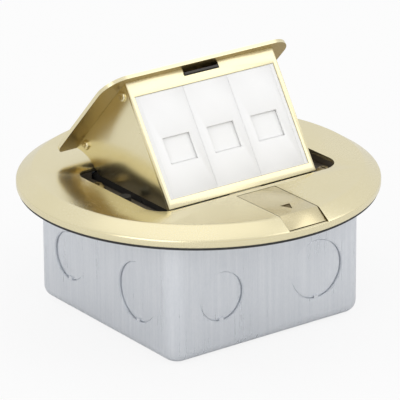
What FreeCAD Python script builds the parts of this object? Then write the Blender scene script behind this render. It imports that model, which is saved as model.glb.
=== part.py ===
import FreeCAD, Part
import math
import os
import re

import Sketcher

# Pop-up floor socket box: a brass flange and lid over a steel back box.
# Frame: +Z up, origin at the middle of the back box's underside, -Y towards the release button.
# "Top frame" below means the same axes with z = 0 on the flange's flat top.
# The carriage's pieces are drawn with the lid shut and are then turned about the hinge to stand open.

SIZES = {
    # whole object
    "overall_height": 63.0,
    "running_gap": 0.3,
    "slack": 0.1,
    # flange
    "bevel_width": 6.9,
    "bevel_drop": 4.5,
    "rim_height": 7.6,
    "flange_overhang": 9.75,
    "rim_wall": 6.5,
    "flange_skin": 1.6,
    "opening_margin": 4.8,
    "opening_front": 37.1,
    "opening_rear": 22.4,
    "opening_front_corner": 9.6,
    "opening_rear_corner": 6.6,
    # gasket
    "gasket_thickness": 1.0,
    "gasket_inset": 0.7,
    "gasket_clearance": 0.85,
    # back box
    "box_margin": 1.15,
    "box_wall": 1.5,
    "box_corner": 7.0,
    "box_edge": 2.5,
    "knockout_depth": 0.8,
    "knockout_height": 25.4,
    "large_knockout": 26.0,
    "small_knockout": 21.4,
    "bridge_width": 2.2,
    "bridge_rise": 1.3,
    "base_hole": 5.0,
    "base_hole_spacing": 60.0,
    "stud_diameter": 4.0,
    "stud_length": 11.0,
    "stud_place": 38.0,
    "nut_width": 7.0,
    "nut_height": 3.2,
    "washer_diameter": 9.0,
    "washer_thickness": 0.8,
    # fixing lugs and screws
    "lug_sheet": 1.5,
    "lug_width": 9.0,
    "lug_margin": 4.15,
    "lug_clearance": 0.6,
    "lug_top": 10.5,
    "fixing_inset": 4.45,
    "fixing_front": 29.5,
    "fixing_rear": 12.0,
    "fixing_screw": 3.5,
    "fixing_head": 6.4,
    "fixing_head_height": 1.9,
    "fixing_length": 15.0,
    # mounting frame
    "ledge_depth": 4.6,
    "well_rear": 44.0,
    "bracket_thickness": 2.8,
    "bracket_width": 13.0,
    "boss_diameter": 7.0,
    "boss_height": 3.4,
    "frame_screw": 3.0,
    "frame_screw_head": 5.5,
    "frame_screw_head_height": 1.7,
    "frame_screw_side_inset": 5.15,
    "frame_screw_side_y": 33.0,
    "frame_screw_front_x": 33.0,
    "frame_screw_front_y": 45.0,
    "frame_screw_rear_x": 19.0,
    "frame_screw_rear_y": 52.0,
    "buffer_diameter": 5.0,
    "buffer_place": 8.0,
    # hinge
    "pivot_back": 35.2,
    "pivot_depth": 16.0,
    "open_angle": 47.0,
    "pin_diameter": 4.0,
    "pin_head": 7.0,
    "pin_head_height": 1.2,
    "pin_inner_end": 26.5,
    "bush_wall": 1.2,
    "bush_flange": 9.0,
    "clip_diameter": 7.0,
    "clip_thickness": 0.8,
    "hinge_wire": 1.2,
    "hinge_coil_radius": 4.0,
    "hinge_turns": 3.0,
    "hinge_coil_pitch": 1.4,
    "spring_foot_reach": 10.8,
    "spring_arm_reach": 13.0,
    # lid
    "lid_gap": 0.3,
    "lid_thickness": 1.6,
    "lid_front_corner": 10.4,
    "lid_rear_corner": 7.0,
    "tab_length": 6.0,
    "tab_height": 5.2,
    "lid_screw": 2.5,
    "lid_screw_head": 4.3,
    "lid_screw_head_height": 0.8,
    "lid_screw_drop": 3.0,
    "lid_screw_front": 6.0,
    "lid_screw_rear": 46.0,
    # shroud: the brass face frame with its two cheeks
    "shroud_sheet": 1.2,
    "face_bar": 2.15,
    "face_setback": 3.2,
    "face_angle": 76.4,
    "face_length": 55.3,
    "window_top": 6.7,
    "window_height": 44.8,
    "notch_width": 17.8,
    "notch_depth": 3.1,
    "cheek_relief": 0.4,
    "cheek_top_reach": 53.3,
    "cheek_corner_y": 15.8,
    "cheek_corner_z": 16.6,
    # arms under the cheeks
    "arm_sheet": 1.6,
    "arm_inset": 3.8,
    "arm_depth": 10.0,
    "arm_front": 22.5,
    "arm_rear": 12.0,
    "arm_boss": 12.0,
    "stop_tab_length": 6.0,
    "stop_tab_reach": 4.4,
    "stop_tab_front": 21.0,
    "tie_diameter": 4.0,
    "tie_front": 10.5,
    "tie_depth": 7.2,
    # latch
    "keeper_width": 30.0,
    "keeper_sheet": 1.2,
    "keeper_shelf_top": 1.75,
    "keeper_shelf": 0.9,
    "keeper_lip": 0.4,
    "keeper_bottom": 4.6,
    "button_width": 19.2,
    "button_rear": 40.0,
    "brow_inset": 8.1,
    "toe_inset": 1.9,
    "heel_inset": 12.5,
    "button_sheet": 1.9,
    "button_toe_depth": 4.3,
    "arrow_inset": 9.2,
    "arrow_half_width": 2.45,
    "arrow_length": 5.2,
    "arrow_depth": 0.3,
    "tongue_sheet": 1.15,
    "tongue_width": 16.0,
    "tongue_tip": 32.2,
    "tongue_plate_width": 23.8,
    "tongue_plate_rear": 42.0,
    "tongue_plate_inset": 1.6,
    "tongue_tab_rear": 47.0,
    "tongue_tab_thickness": 1.2,
    "tongue_tab_width": 3.0,
    "tongue_tab_depth": 6.1,
    "release_travel": 3.5,
    "button_rivet": 2.0,
    "button_rivet_x": 6.5,
    "button_rivet_inset": 3.4,
    "button_rivet_rear": 44.5,
    "slider_wire": 0.45,
    "slider_coil_radius": 1.15,
    "slider_turns": 8.0,
    # data modules
    "module_pitch": 22.5,
    "module_margin": 1.85,
    "module_recess": 0.4,
    "plate_depth": 3.0,
    "plate_skin": 0.8,
    "carrier_depth": 10.0,
    "carrier_wall": 1.5,
    "carrier_seat": 1.0,
    "carrier_lip": 1.6,
    "carrier_lip_depth": 2.0,
    "peg_diameter": 3.0,
    "peg_depth": 7.0,
    "peg_upper": 16.0,
    "peg_lower": 42.0,
    "port_width": 13.6,
    "port_height": 11.5,
    "port_top": 26.0,
    "shutter_thickness": 1.1,
    "shutter_lap": 0.9,
    "track_top": 9.4,
    "track_bottom": 38.8,
    "shutter_wire": 0.3,
    "shutter_coil_radius": 0.62,
    "shutter_turns": 9.0,
    "jack_width": 16.5,
    "jack_top": 22.0,
    "jack_height": 19.5,
    "jack_length": 24.0,
    "socket_width": 11.9,
    "socket_top": 27.2,
    "socket_height": 8.2,
    "socket_depth": 14.5,
    "key_width": 6.2,
    "key_height": 1.9,
    "contact_pitch": 1.02,
    "contact_width": 0.4,
    "contact_length": 10.0,
    "contact_angle": 20.0,
    "contact_setback": 2.0,
    "cap_length": 8.0,
    "cap_groove_width": 1.3,
    "cap_groove_depth": 3.5,
    "cap_groove_pitch": 3.6,
    # cross recesses
    "recess_arm": 0.55,
    "recess_depth": 0.7,
}

# Sizes that follow from others: the modules set the shroud, the shroud the opening, and so on outward.
DERIVED = {
    "window_width": "3 * module_pitch + 2 * module_margin",
    "shroud_width": "window_width + 2 * face_bar",
    "well_half_width": "shroud_width / 2 + lid_screw_head_height + running_gap",
    "fixing_x": "well_half_width + fixing_inset",
    "opening_width": "2 * (fixing_x + opening_margin)",
    "box_width": "opening_width + 2 * box_margin",
    "box_reach": "(box_width / 2 - box_corner) * sqrt(2) + box_corner",
    "flange_radius": "box_reach + flange_overhang",
    "knockout_shift": "box_width / 4",
    "lug_leg": "overall_height - lug_top - lug_sheet - lug_clearance - knockout_height - large_knockout / 2",
    "frame_screw_side_x": "well_half_width + frame_screw_side_inset",
    "button_brow": "flange_radius - brow_inset",
    "button_toe": "flange_radius - toe_inset",
    "button_heel": "flange_radius - heel_inset",
    "arrow_base": "button_brow - arrow_inset",
    "tongue_plate_front": "button_heel - tongue_plate_inset",
    "button_rivet_front": "tongue_plate_front - button_rivet_inset",
}

doc = FreeCAD.newDocument("floor_socket_box")
sheet = doc.addObject("Spreadsheet::Sheet", "Sizes")
for row, (alias, value) in enumerate(SIZES.items(), start=1):
    sheet.set(f"A{row}", alias)
    sheet.set(f"B{row}", str(value))
    sheet.setAlias(f"B{row}", alias)
doc.recompute()

SUB_PARTS = []


def formula(text):
    """Point each size's name in a formula at its cell in the sheet, and write out those that follow."""
    def spell(word):
        name = word.group()
        if name in DERIVED:
            return f"({formula(DERIVED[name])})"
        return f"Sizes.{name}" if name in SIZES else name

    return re.sub(r"[a-z][a-z_]*", spell, text)


def measure(text):
    """Work a formula out to a plain number."""
    return float(sheet.evalExpression(formula(text)))


def bind(obj, prop, text):
    obj.setExpression(prop, formula(text))


# ---------------------------------------------------------------- places that several pieces share

FACE_Y = "(face_setback + lid_gap - opening_front)"
FACE_Z = "(-lid_thickness)"
FRAME_TOP = "(-flange_skin)"
FRAME_BOTTOM = "(-rim_height)"
BOX_TOP = "(-rim_height - slack)"
RIM_INNER = "(flange_radius - rim_wall)"
CHEEK_INNER = "(shroud_width / 2 - shroud_sheet)"
ARM_INNER = "(shroud_width / 2 - shroud_sheet - arm_sheet)"
BRACKET_OUTER = "(well_half_width + bracket_thickness)"
SWEEP = "(sqrt((pivot_back - opening_rear)^2 + pivot_depth^2) + running_gap)"
TONGUE_TOP = "(-button_sheet)"
TONGUE_BOTTOM = "(-button_sheet - tongue_sheet)"
CHANNEL_FLOOR = "(-button_sheet - tongue_sheet - running_gap - slack / 2)"
CHANNEL_HALF = "(button_width / 2 + running_gap)"
GROOVE_FLOOR = "(-tongue_tab_depth - running_gap)"
PLATE_FRONT = "(-module_recess)"
PLATE_BACK = "(-module_recess - plate_depth)"
SHUTTER_FRONT = "(-module_recess - plate_skin - running_gap * 0.8)"
SHUTTER_TOP = "(port_top - shutter_lap)"
CARRIER_HALF = "(window_width / 2 - slack)"
CARRIER_HEIGHT = "(window_height - 2 * slack)"


def on_face(down, inward):
    """Y and Z, lid shut, of a point so far down the face and so far behind it."""
    return (
        f"({FACE_Y} + ({down}) * cos(face_angle) + ({inward}) * sin(face_angle))",
        f"({FACE_Z} - ({down}) * sin(face_angle) + ({inward}) * cos(face_angle))",
    )


def shut(back, height):
    """Y and Z, lid shut, of a carriage point given where it is with the lid open."""
    return (
        f"(pivot_back + (({back}) - pivot_back) * cos(open_angle)"
        f" - (({height}) + pivot_depth) * sin(open_angle))",
        f"((({back}) - pivot_back) * sin(open_angle)"
        f" + (({height}) + pivot_depth) * cos(open_angle) - pivot_depth)",
    )


# ---------------------------------------------------------------- sketches and features

def new_body(label):
    body = doc.addObject("PartDesign::Body", label)
    body.Label = label
    return body


def sketch_on(body, plane, offset="0"):
    """A sketch on one of the body's own origin planes, moved along that plane's normal."""
    sketch = body.newObject("Sketcher::SketchObject", f"{body.Name}_sketch")
    support = next(f for f in body.Origin.OriginFeatures if f.Role == f"{plane}_Plane")
    sketch.AttachmentSupport = (support, [""])
    sketch.MapMode = "FlatFace"
    bind(sketch, "AttachmentOffset.Base.z", offset)
    return sketch


def sketch_on_face(body):
    """A sketch on the module face, in a body that is drawn in the top frame: x right, y up the face."""
    sketch = sketch_on(body, "XY", FACE_Z)
    bind(sketch, "AttachmentOffset.Base.y", FACE_Y)
    sketch.AttachmentOffset.Rotation.Axis = FreeCAD.Vector(1, 0, 0)
    bind(sketch, "AttachmentOffset.Rotation.Axis.x", "1")
    bind(sketch, "AttachmentOffset.Rotation.Axis.z", "0")
    bind(sketch, "AttachmentOffset.Rotation.Angle", "180 - face_angle")
    return sketch


def pin_point(sketch, geometry, point, place):
    """Fix one point of a sketch by two formulas, measured from the sketch's origin."""
    for kind, text in zip(("DistanceX", "DistanceY"), place):
        index = sketch.addConstraint(Sketcher.Constraint(kind, -1, 1, geometry, point, measure(text)))
        bind(sketch, f"Constraints[{index}]", text)


def polygon(sketch, points):
    corners = [FreeCAD.Vector(measure(x), measure(y), 0) for x, y in points]
    first = sketch.GeometryCount
    count = len(corners)
    for index in range(count):
        sketch.addGeometry(Part.LineSegment(corners[index], corners[(index + 1) % count]), False)
    for index in range(count):
        after = first + (index + 1) % count
        sketch.addConstraint(Sketcher.Constraint("Coincident", first + index, 2, after, 1))
    for index, place in enumerate(points):
        pin_point(sketch, first + index, 1, place)


def rectangle(sketch, low_x, high_x, low_y, high_y):
    polygon(sketch, [(low_x, low_y), (high_x, low_y), (high_x, high_y), (low_x, high_y)])


def circle(sketch, place, radius):
    centre = FreeCAD.Vector(measure(place[0]), measure(place[1]), 0)
    geometry = sketch.addGeometry(Part.Circle(centre, FreeCAD.Vector(0, 0, 1), measure(radius)), False)
    pin_point(sketch, geometry, 3, place)
    index = sketch.addConstraint(Sketcher.Constraint("Radius", geometry, measure(radius)))
    bind(sketch, f"Constraints[{index}]", radius)


def half_disc(sketch, place, radius):
    """The upper half of a disc."""
    x, y, r = measure(place[0]), measure(place[1]), measure(radius)
    whole = Part.Circle(FreeCAD.Vector(x, y, 0), FreeCAD.Vector(0, 0, 1), r)
    arc = sketch.addGeometry(Part.ArcOfCircle(whole, 0, math.pi), False)
    line = sketch.addGeometry(Part.LineSegment(FreeCAD.Vector(x - r, y, 0), FreeCAD.Vector(x + r, y, 0)), False)
    sketch.addConstraint(Sketcher.Constraint("Coincident", arc, 2, line, 1))
    sketch.addConstraint(Sketcher.Constraint("Coincident", arc, 1, line, 2))
    sketch.addConstraint(Sketcher.Constraint("Horizontal", line))
    sketch.addConstraint(Sketcher.Constraint("PointOnObject", arc, 3, line))
    pin_point(sketch, arc, 3, place)
    index = sketch.addConstraint(Sketcher.Constraint("Radius", arc, r))
    bind(sketch, f"Constraints[{index}]", radius)


def rounded_rectangle(sketch, low_x, high_x, low_y, high_y, low_radius, high_radius=None):
    """A rectangle with one corner radius along its low edge and one along its high edge."""
    high_radius = high_radius or low_radius
    x0, x1, y0, y1 = (measure(text) for text in (low_x, high_x, low_y, high_y))
    a, b = measure(low_radius), measure(high_radius)
    spots = [
        ((x0 + a, y0), (x1 - a, y0), (x1 - a, y0 + a), a, -90),
        ((x1, y0 + a), (x1, y1 - b), (x1 - b, y1 - b), b, 0),
        ((x1 - b, y1), (x0 + b, y1), (x0 + b, y1 - b), b, 90),
        ((x0, y1 - b), (x0, y0 + a), (x0 + a, y0 + a), a, 180),
    ]
    lines = []
    arcs = []
    for start, end, centre, radius, angle in spots:
        lines.append(sketch.addGeometry(Part.LineSegment(FreeCAD.Vector(*start, 0), FreeCAD.Vector(*end, 0)), False))
        whole = Part.Circle(FreeCAD.Vector(*centre, 0), FreeCAD.Vector(0, 0, 1), radius)
        turn = math.radians(angle)
        arcs.append(sketch.addGeometry(Part.ArcOfCircle(whole, turn, turn + math.pi / 2), False))
    for index in range(4):
        sketch.addConstraint(Sketcher.Constraint("Tangent", lines[index], 2, arcs[index], 1))
        sketch.addConstraint(Sketcher.Constraint("Tangent", arcs[index], 2, lines[(index + 1) % 4], 1))
    for index in (0, 2):
        sketch.addConstraint(Sketcher.Constraint("Horizontal", lines[index]))
        sketch.addConstraint(Sketcher.Constraint("Vertical", lines[index + 1]))
    sketch.addConstraint(Sketcher.Constraint("Equal", arcs[0], arcs[3]))
    sketch.addConstraint(Sketcher.Constraint("Equal", arcs[1], arcs[2]))
    limits = [
        ("DistanceX", lines[3], low_x), ("DistanceX", lines[1], high_x),
        ("DistanceY", lines[0], low_y), ("DistanceY", lines[2], high_y),
    ]
    for kind, line, text in limits:
        index = sketch.addConstraint(Sketcher.Constraint(kind, -1, 1, line, 1, measure(text)))
        bind(sketch, f"Constraints[{index}]", text)
    for arc, text in ((arcs[0], low_radius), (arcs[1], high_radius)):
        index = sketch.addConstraint(Sketcher.Constraint("Radius", arc, measure(text)))
        bind(sketch, f"Constraints[{index}]", text)


def pad(body, sketch, length, backwards=False, both_ways=False):
    feature = body.newObject("PartDesign::Pad", f"{body.Name}_pad")
    feature.Profile = sketch
    feature.Reversed = backwards
    if both_ways:
        feature.SideType = "Symmetric"
    bind(feature, "Length", length)
    return feature


def pocket(body, sketch, depth, backwards=False, both_ways=False):
    feature = body.newObject("PartDesign::Pocket", f"{body.Name}_pocket")
    feature.Profile = sketch
    feature.Reversed = backwards
    if both_ways:
        feature.SideType = "Symmetric"
    bind(feature, "Length", depth)
    return feature


def revolve(body, sketch):
    feature = body.newObject("PartDesign::Revolution", f"{body.Name}_revolution")
    feature.Profile = sketch
    feature.ReferenceAxis = (sketch, ["V_Axis"])
    return feature


def polar_pattern(body, originals, count):
    pattern = body.newObject("PartDesign::PolarPattern", f"{body.Name}_pattern")
    pattern.Originals = originals
    pattern.Axis = (next(f for f in body.Origin.OriginFeatures if f.Role == "Z_Axis"), [""])
    pattern.Angle = 360
    pattern.Occurrences = count
    body.Tip = pattern
    return pattern


def mirror_left(body, originals):
    """Repeat features on the other side of the middle plane x = 0."""
    mirrored = body.newObject("PartDesign::Mirrored", f"{body.Name}_mirrored")
    mirrored.Originals = originals
    mirrored.MirrorPlane = (next(f for f in body.Origin.OriginFeatures if f.Role == "YZ_Plane"), [""])
    body.Tip = mirrored
    return mirrored


def fillet_edges(body, feature, radius, chosen):
    """Round the edges of a feature that pass a test."""
    doc.recompute()
    names = [f"Edge{i}" for i, edge in enumerate(feature.Shape.Edges, start=1) if chosen(edge)]
    fillet = body.newObject("PartDesign::Fillet", f"{body.Name}_fillet")
    fillet.Base = (feature, names)
    bind(fillet, "Radius", radius)
    return fillet


# ---------------------------------------------------------------- placing pieces

def opened(back, height):
    """World Y and Z, lid open, of a carriage point given where it is with the lid shut."""
    reach, rise = f"(({back}) - pivot_back)", f"(({height}) + pivot_depth)"
    return (
        f"pivot_back + {reach} * cos(open_angle) + {rise} * sin(open_angle)",
        f"overall_height - pivot_depth - {reach} * sin(open_angle) + {rise} * cos(open_angle)",
    )


def place(obj, x="0", y="0", z="0", axis=(1, 0, 0), angle="0"):
    obj.Placement = FreeCAD.Placement(FreeCAD.Vector(0, 0, 0), FreeCAD.Rotation(FreeCAD.Vector(*axis), 1))
    for name, text in zip("xyz", (x, y, z)):
        bind(obj, f"Placement.Base.{name}", text)
    bind(obj, "Placement.Rotation.Angle", angle)
    for name, part in zip("xyz", axis):
        bind(obj, f"Placement.Rotation.Axis.{name}", str(part))


def place_fixed(obj):
    place(obj, z="overall_height")


def place_on_carriage(obj):
    """Turn a piece that is drawn with the lid shut to where it stands with the lid open."""
    place(
        obj,
        y="pivot_back * (1 - cos(open_angle)) + pivot_depth * sin(open_angle)",
        z="overall_height - pivot_depth * (1 - cos(open_angle)) + pivot_back * sin(open_angle)",
        angle="-open_angle",
    )


def place_on_face(obj, x="0", down="0", inward="0", lean="0"):
    """Put a piece that is drawn flat, x right and y up, onto the module face of the open carriage."""
    y, z = opened(*on_face(down, inward))
    place(obj, x=x, y=y, z=z, angle=f"180 - face_angle - open_angle + {lean}")


def finish(obj, label):
    obj.Label = label
    SUB_PARTS.append(obj)
    return obj


def group(label, pieces):
    """One node for pieces of the same kind, each its own solid."""
    compound = doc.addObject("Part::Compound", f"{label}_group")
    compound.Links = pieces
    return finish(compound, label)


def screw(label, length, shank, head, head_height, recessed=True):
    """A screw along -Z with the underside of its head at z = 0 and a cross recess on top."""
    body = new_body(label)
    profile = sketch_on(body, "XZ")
    polygon(profile, [
        ("0", head_height), (f"{head} * 0.32", head_height), (f"{head} / 2", f"{head_height} * 0.45"),
        (f"{head} / 2", "0"), (f"{shank} / 2", "0"), (f"{shank} / 2", f"-({length}) + {shank} * 0.2"),
        (f"{shank} * 0.3", f"-({length})"), ("0", f"-({length})"),
    ])
    revolve(body, profile)
    if recessed:
        top = sketch_on(body, "XY", head_height)
        half, reach = "recess_arm / 2", f"{head} * 0.27"
        steps = [(half, reach), (half, half), (reach, half)]
        cross = list(steps)
        cross += [(x, f"-({y})") for x, y in reversed(steps)]
        cross += [(f"-({x})", f"-({y})") for x, y in steps]
        cross += [(f"-({x})", y) for x, y in reversed(steps)]
        polygon(top, cross)
        pocket(body, top, "recess_depth")
    return body


def spring_wire(wire, sections):
    """A wire's solid through six-sided sections, each a centre and two directions across the wire."""
    rings = []
    for centre, across, along in sections:
        points = []
        for angle in range(0, 360, 60):
            turn = math.radians(angle)
            points.append(centre + across * (wire / 2 * math.cos(turn)) + along * (wire / 2 * math.sin(turn)))
        rings.append(Part.makePolygon(points + points[:1]))
    return Part.makeLoft(rings, True, True)


def coil(radius, wire, pitch, turns):
    """A helical spring's solid along +Z from z = 0."""
    steps = math.ceil(turns * 10)
    along = FreeCAD.Vector(0, 0, 1)
    sections = []
    for index in range(steps + 1):
        turn = turns * index / steps
        across = FreeCAD.Vector(math.cos(2 * math.pi * turn), math.sin(2 * math.pi * turn), 0)
        sections.append((across * radius + along * (pitch * turn), across, along))
    return spring_wire(wire, sections)


def spring_feature(label, shape):
    feature = doc.addObject("Part::Feature", label)
    feature.Shape = shape
    return finish(feature, label)


# ---------------------------------------------------------------- fixed pieces

def back_box():
    body = new_body("back_box")
    half = "box_width / 2"
    outline = sketch_on(body, "XY", "-overall_height")
    rounded_rectangle(outline, f"-{half}", half, f"-{half}", half, "box_corner")
    block = pad(body, outline, f"overall_height + {BOX_TOP}")
    floor_height = -measure("overall_height")
    fillet_edges(
        body, block, "box_edge",
        lambda edge: all(abs(v.Z - floor_height) < 0.01 for v in edge.Vertexes),
    )
    hollow = sketch_on(body, "XY", BOX_TOP)
    inner = f"({half} - box_wall)"
    rounded_rectangle(hollow, f"-{inner}", inner, f"-{inner}", inner, "box_corner - box_wall")
    pocket(body, hollow, f"overall_height + {BOX_TOP} - box_wall")
    height = "-overall_height + knockout_height"
    features = []
    for width, shift in (("large_knockout", "knockout_shift"), ("small_knockout", "-knockout_shift")):
        disc = sketch_on(body, "XZ", inner)
        circle(disc, (shift, height), f"{width} / 2 - running_gap")
        features.append(pad(body, disc, "knockout_depth", backwards=True))
        recess = sketch_on(body, "XZ", half)
        circle(recess, (shift, height), f"{width} / 2")
        features.append(pocket(body, recess, "knockout_depth"))
        bridge = sketch_on(body, "XZ", half)
        low = f"{height} - {width} / 2"
        rectangle(
            bridge, f"{shift} - bridge_width / 2", f"{shift} + bridge_width / 2", f"{low} - slack",
            f"{low} + bridge_rise",
        )
        features.append(pad(body, bridge, "knockout_depth", backwards=True))
    polar_pattern(body, features, 4)
    floor = sketch_on(body, "XY", "box_wall - overall_height")
    spacing = "base_hole_spacing / 2"
    for x in (f"-{spacing}", spacing):
        for y in (f"-{spacing}", spacing):
            circle(floor, (x, y), "base_hole / 2")
    circle(floor, ("stud_place", "stud_place"), "stud_diameter / 2")
    body.Tip = pocket(body, floor, "box_wall")
    place_fixed(body)
    return finish(body, "back_box")


def earth_stud():
    body = new_body("earth_stud")
    profile = sketch_on(body, "XZ")
    polygon(profile, [
        ("0", "0"), ("stud_diameter / 2", "0"), ("stud_diameter / 2", "stud_length - 0.5"),
        ("stud_diameter / 2 - 0.5", "stud_length"), ("0", "stud_length"),
    ])
    revolve(body, profile)
    place(body, "stud_place", "stud_place", "0")
    finish(body, "earth_stud")

    washer = new_body("earth_washer")
    ring = sketch_on(washer, "XY")
    circle(ring, ("0", "0"), "washer_diameter / 2")
    circle(ring, ("0", "0"), "stud_diameter / 2")
    pad(washer, ring, "washer_thickness")
    place(washer, "stud_place", "stud_place", "box_wall")
    finish(washer, "earth_washer")

    nut = new_body("earth_nut")
    hexagon = sketch_on(nut, "XY")
    across = "(nut_width / 2 / cos(30))"
    polygon(hexagon, [(f"{across} * cos({angle})", f"{across} * sin({angle})") for angle in range(0, 360, 60)])
    circle(hexagon, ("0", "0"), "stud_diameter / 2")
    pad(nut, hexagon, "nut_height")
    place(nut, "stud_place", "stud_place", "box_wall + washer_thickness")
    finish(nut, "earth_nut")


def fixing_places():
    for name, y in (("front", "-fixing_front"), ("rear", "fixing_rear")):
        for side, sign in (("left", "-"), ("right", "")):
            yield f"{name}_{side}", sign, y


def fixing_lugs():
    pieces = []
    for name, sign, y in fixing_places():
        body = new_body(f"lug_{name}")
        wall = "(box_width / 2 - box_wall)"
        outline = sketch_on(body, "XZ")
        low, sheet_edge = "-lug_top - lug_sheet", f"{wall} - lug_sheet"
        points = [
            ("fixing_x - lug_margin", "-lug_top"), (wall, "-lug_top"), (wall, f"{low} - lug_leg"),
            (sheet_edge, f"{low} - lug_leg"), (sheet_edge, low), ("fixing_x - lug_margin", low),
        ]
        polygon(outline, [(f"{sign}({x})", z) for x, z in points])
        pad(body, outline, "lug_width", both_ways=True)
        hole = sketch_on(body, "XY", "-lug_top")
        circle(hole, (f"{sign}fixing_x", "0"), "fixing_screw / 2")
        pocket(body, hole, "lug_sheet")
        place(body, "0", y, "overall_height")
        pieces.append(body)
    group("fixing_lugs", pieces)


def fixing_screws():
    pieces = []
    for name, sign, y in fixing_places():
        body = screw(
            f"fixing_screw_{name}", "fixing_length", "fixing_screw", "fixing_head", "fixing_head_height",
        )
        place(body, f"{sign}fixing_x", y, "overall_height - ledge_depth")
        pieces.append(body)
    group("fixing_screws", pieces)


def gasket():
    body = new_body("gasket")
    ring = sketch_on(body, "XY", FRAME_BOTTOM)
    circle(ring, ("0", "0"), "flange_radius - gasket_inset")
    circle(ring, ("0", "0"), "box_reach + gasket_clearance")
    pad(body, ring, "gasket_thickness", backwards=True)
    place_fixed(body)
    return finish(body, "gasket")


def opening_outline(sketch, spread="0"):
    """The lid's opening, grown by the spread all round."""
    rounded_rectangle(
        sketch,
        f"-opening_width / 2 - {spread}", f"opening_width / 2 + {spread}",
        f"-opening_front - {spread}", f"opening_rear + {spread}",
        "opening_front_corner", "opening_rear_corner",
    )


def boss_places():
    side, front, rear = (
        ("frame_screw_side_x", "frame_screw_side_y"), ("frame_screw_front_x", "-frame_screw_front_y"),
        ("frame_screw_rear_x", "frame_screw_rear_y"),
    )
    for x, y in (side, front, rear):
        yield x, y
        yield f"-{x}", y


def flange():
    body = new_body("flange")
    profile = sketch_on(body, "XZ")
    polygon(profile, [
        ("0", "0"), ("flange_radius - bevel_width", "0"), ("flange_radius", "-bevel_drop"),
        ("flange_radius", FRAME_BOTTOM), (RIM_INNER, FRAME_BOTTOM), (RIM_INNER, FRAME_TOP), ("0", FRAME_TOP),
    ])
    revolve(body, profile)
    bosses = sketch_on(body, "XY", FRAME_TOP)
    for spot in boss_places():
        circle(bosses, spot, "boss_diameter / 2")
    pad(body, bosses, "boss_height", backwards=True)
    threads = sketch_on(body, "XY", f"{FRAME_TOP} - boss_height")
    for spot in boss_places():
        circle(threads, spot, "frame_screw / 2")
    pocket(body, threads, "boss_height - slack", backwards=True)
    opening = sketch_on(body, "XY")
    opening_outline(opening)
    pocket(body, opening, "flange_skin")
    channel = sketch_on(body, "XY")
    rectangle(channel, f"-{CHANNEL_HALF}", CHANNEL_HALF, "-flange_radius - 1", "running_gap - button_rear")
    pocket(body, channel, "button_toe_depth + running_gap")
    place_fixed(body)
    return finish(body, "flange")


def mounting_frame():
    body = new_body("mounting_frame")
    disc = sketch_on(body, "XY", FRAME_BOTTOM)
    circle(disc, ("0", "0"), f"{RIM_INNER} - slack")
    pad(body, disc, "rim_height - flange_skin")

    for side in ("-", ""):
        ear = sketch_on(body, "YZ", f"{side}well_half_width")
        ear_width = "bracket_width / 2"
        rectangle(ear, f"pivot_back - {ear_width}", f"pivot_back + {ear_width}", "-pivot_depth", FRAME_BOTTOM)
        pad(body, ear, "bracket_thickness", backwards=bool(side))
        nose = sketch_on(body, "YZ", f"{side}well_half_width")
        circle(nose, ("pivot_back", "-pivot_depth"), ear_width)
        pad(body, nose, "bracket_thickness", backwards=bool(side))
    bore = sketch_on(body, "YZ")
    circle(bore, ("pivot_back", "-pivot_depth"), "pin_diameter / 2")
    pocket(body, bore, "box_width", both_ways=True)

    recess = sketch_on(body, "XY", FRAME_TOP)
    opening_outline(recess)
    pocket(body, recess, "ledge_depth - flange_skin")
    well = sketch_on(body, "XY", FRAME_TOP)
    rectangle(well, "-well_half_width", "well_half_width", "-opening_front", "well_rear")
    pocket(body, well, "rim_height")

    channel = sketch_on(body, "XY", FRAME_TOP)
    wide = "(tongue_plate_width / 2 + running_gap)"
    rectangle(channel, f"-{wide}", wide, "-tongue_plate_front - release_travel - running_gap", "-opening_front")
    pocket(body, channel, f"-flange_skin - {CHANNEL_FLOOR}")
    toe = sketch_on(body, "XY", FRAME_TOP)
    rectangle(toe, f"-{CHANNEL_HALF}", CHANNEL_HALF, "-flange_radius", "1 - button_heel")
    pocket(body, toe, "button_toe_depth + running_gap - flange_skin")
    groove = sketch_on(body, "XY", CHANNEL_FLOOR)
    tab_half = "(tongue_tab_width / 2 + running_gap)"
    rectangle(groove, f"-{tab_half}", tab_half, "-tongue_plate_front", "running_gap - tongue_tab_rear")
    pocket(body, groove, f"{CHANNEL_FLOOR} - {GROOVE_FLOOR}")

    sockets = sketch_on(body, "XY", FRAME_TOP)
    for spot in boss_places():
        circle(sockets, spot, "boss_diameter / 2 + running_gap")
    pocket(body, sockets, "boss_height + slack")
    holes = sketch_on(body, "XY", FRAME_TOP)
    for spot in boss_places():
        circle(holes, spot, "frame_screw / 2 + slack")
    pocket(body, holes, "rim_height")
    heads = sketch_on(body, "XY", FRAME_BOTTOM)
    for spot in boss_places():
        circle(heads, spot, "frame_screw_head / 2 + running_gap")
    pocket(body, heads, "frame_screw_head_height + slack", backwards=True)
    fixings = sketch_on(body, "XY", "-ledge_depth")
    for _, sign, y in fixing_places():
        circle(fixings, (f"{sign}fixing_x", y), "fixing_screw / 2 + running_gap")
    pocket(body, fixings, "rim_height")
    place_fixed(body)
    return finish(body, "mounting_frame")


def frame_screws():
    pieces = []
    for index, (x, y) in enumerate(boss_places(), start=1):
        body = screw(
            f"frame_screw_{index}", "rim_height - flange_skin - frame_screw_head_height - slack * 4",
            "frame_screw", "frame_screw_head", "frame_screw_head_height", recessed=False,
        )
        place(body, x, y, f"overall_height + {FRAME_BOTTOM} + frame_screw_head_height + slack", angle="180")
        pieces.append(body)
    group("frame_screws", pieces)


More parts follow.
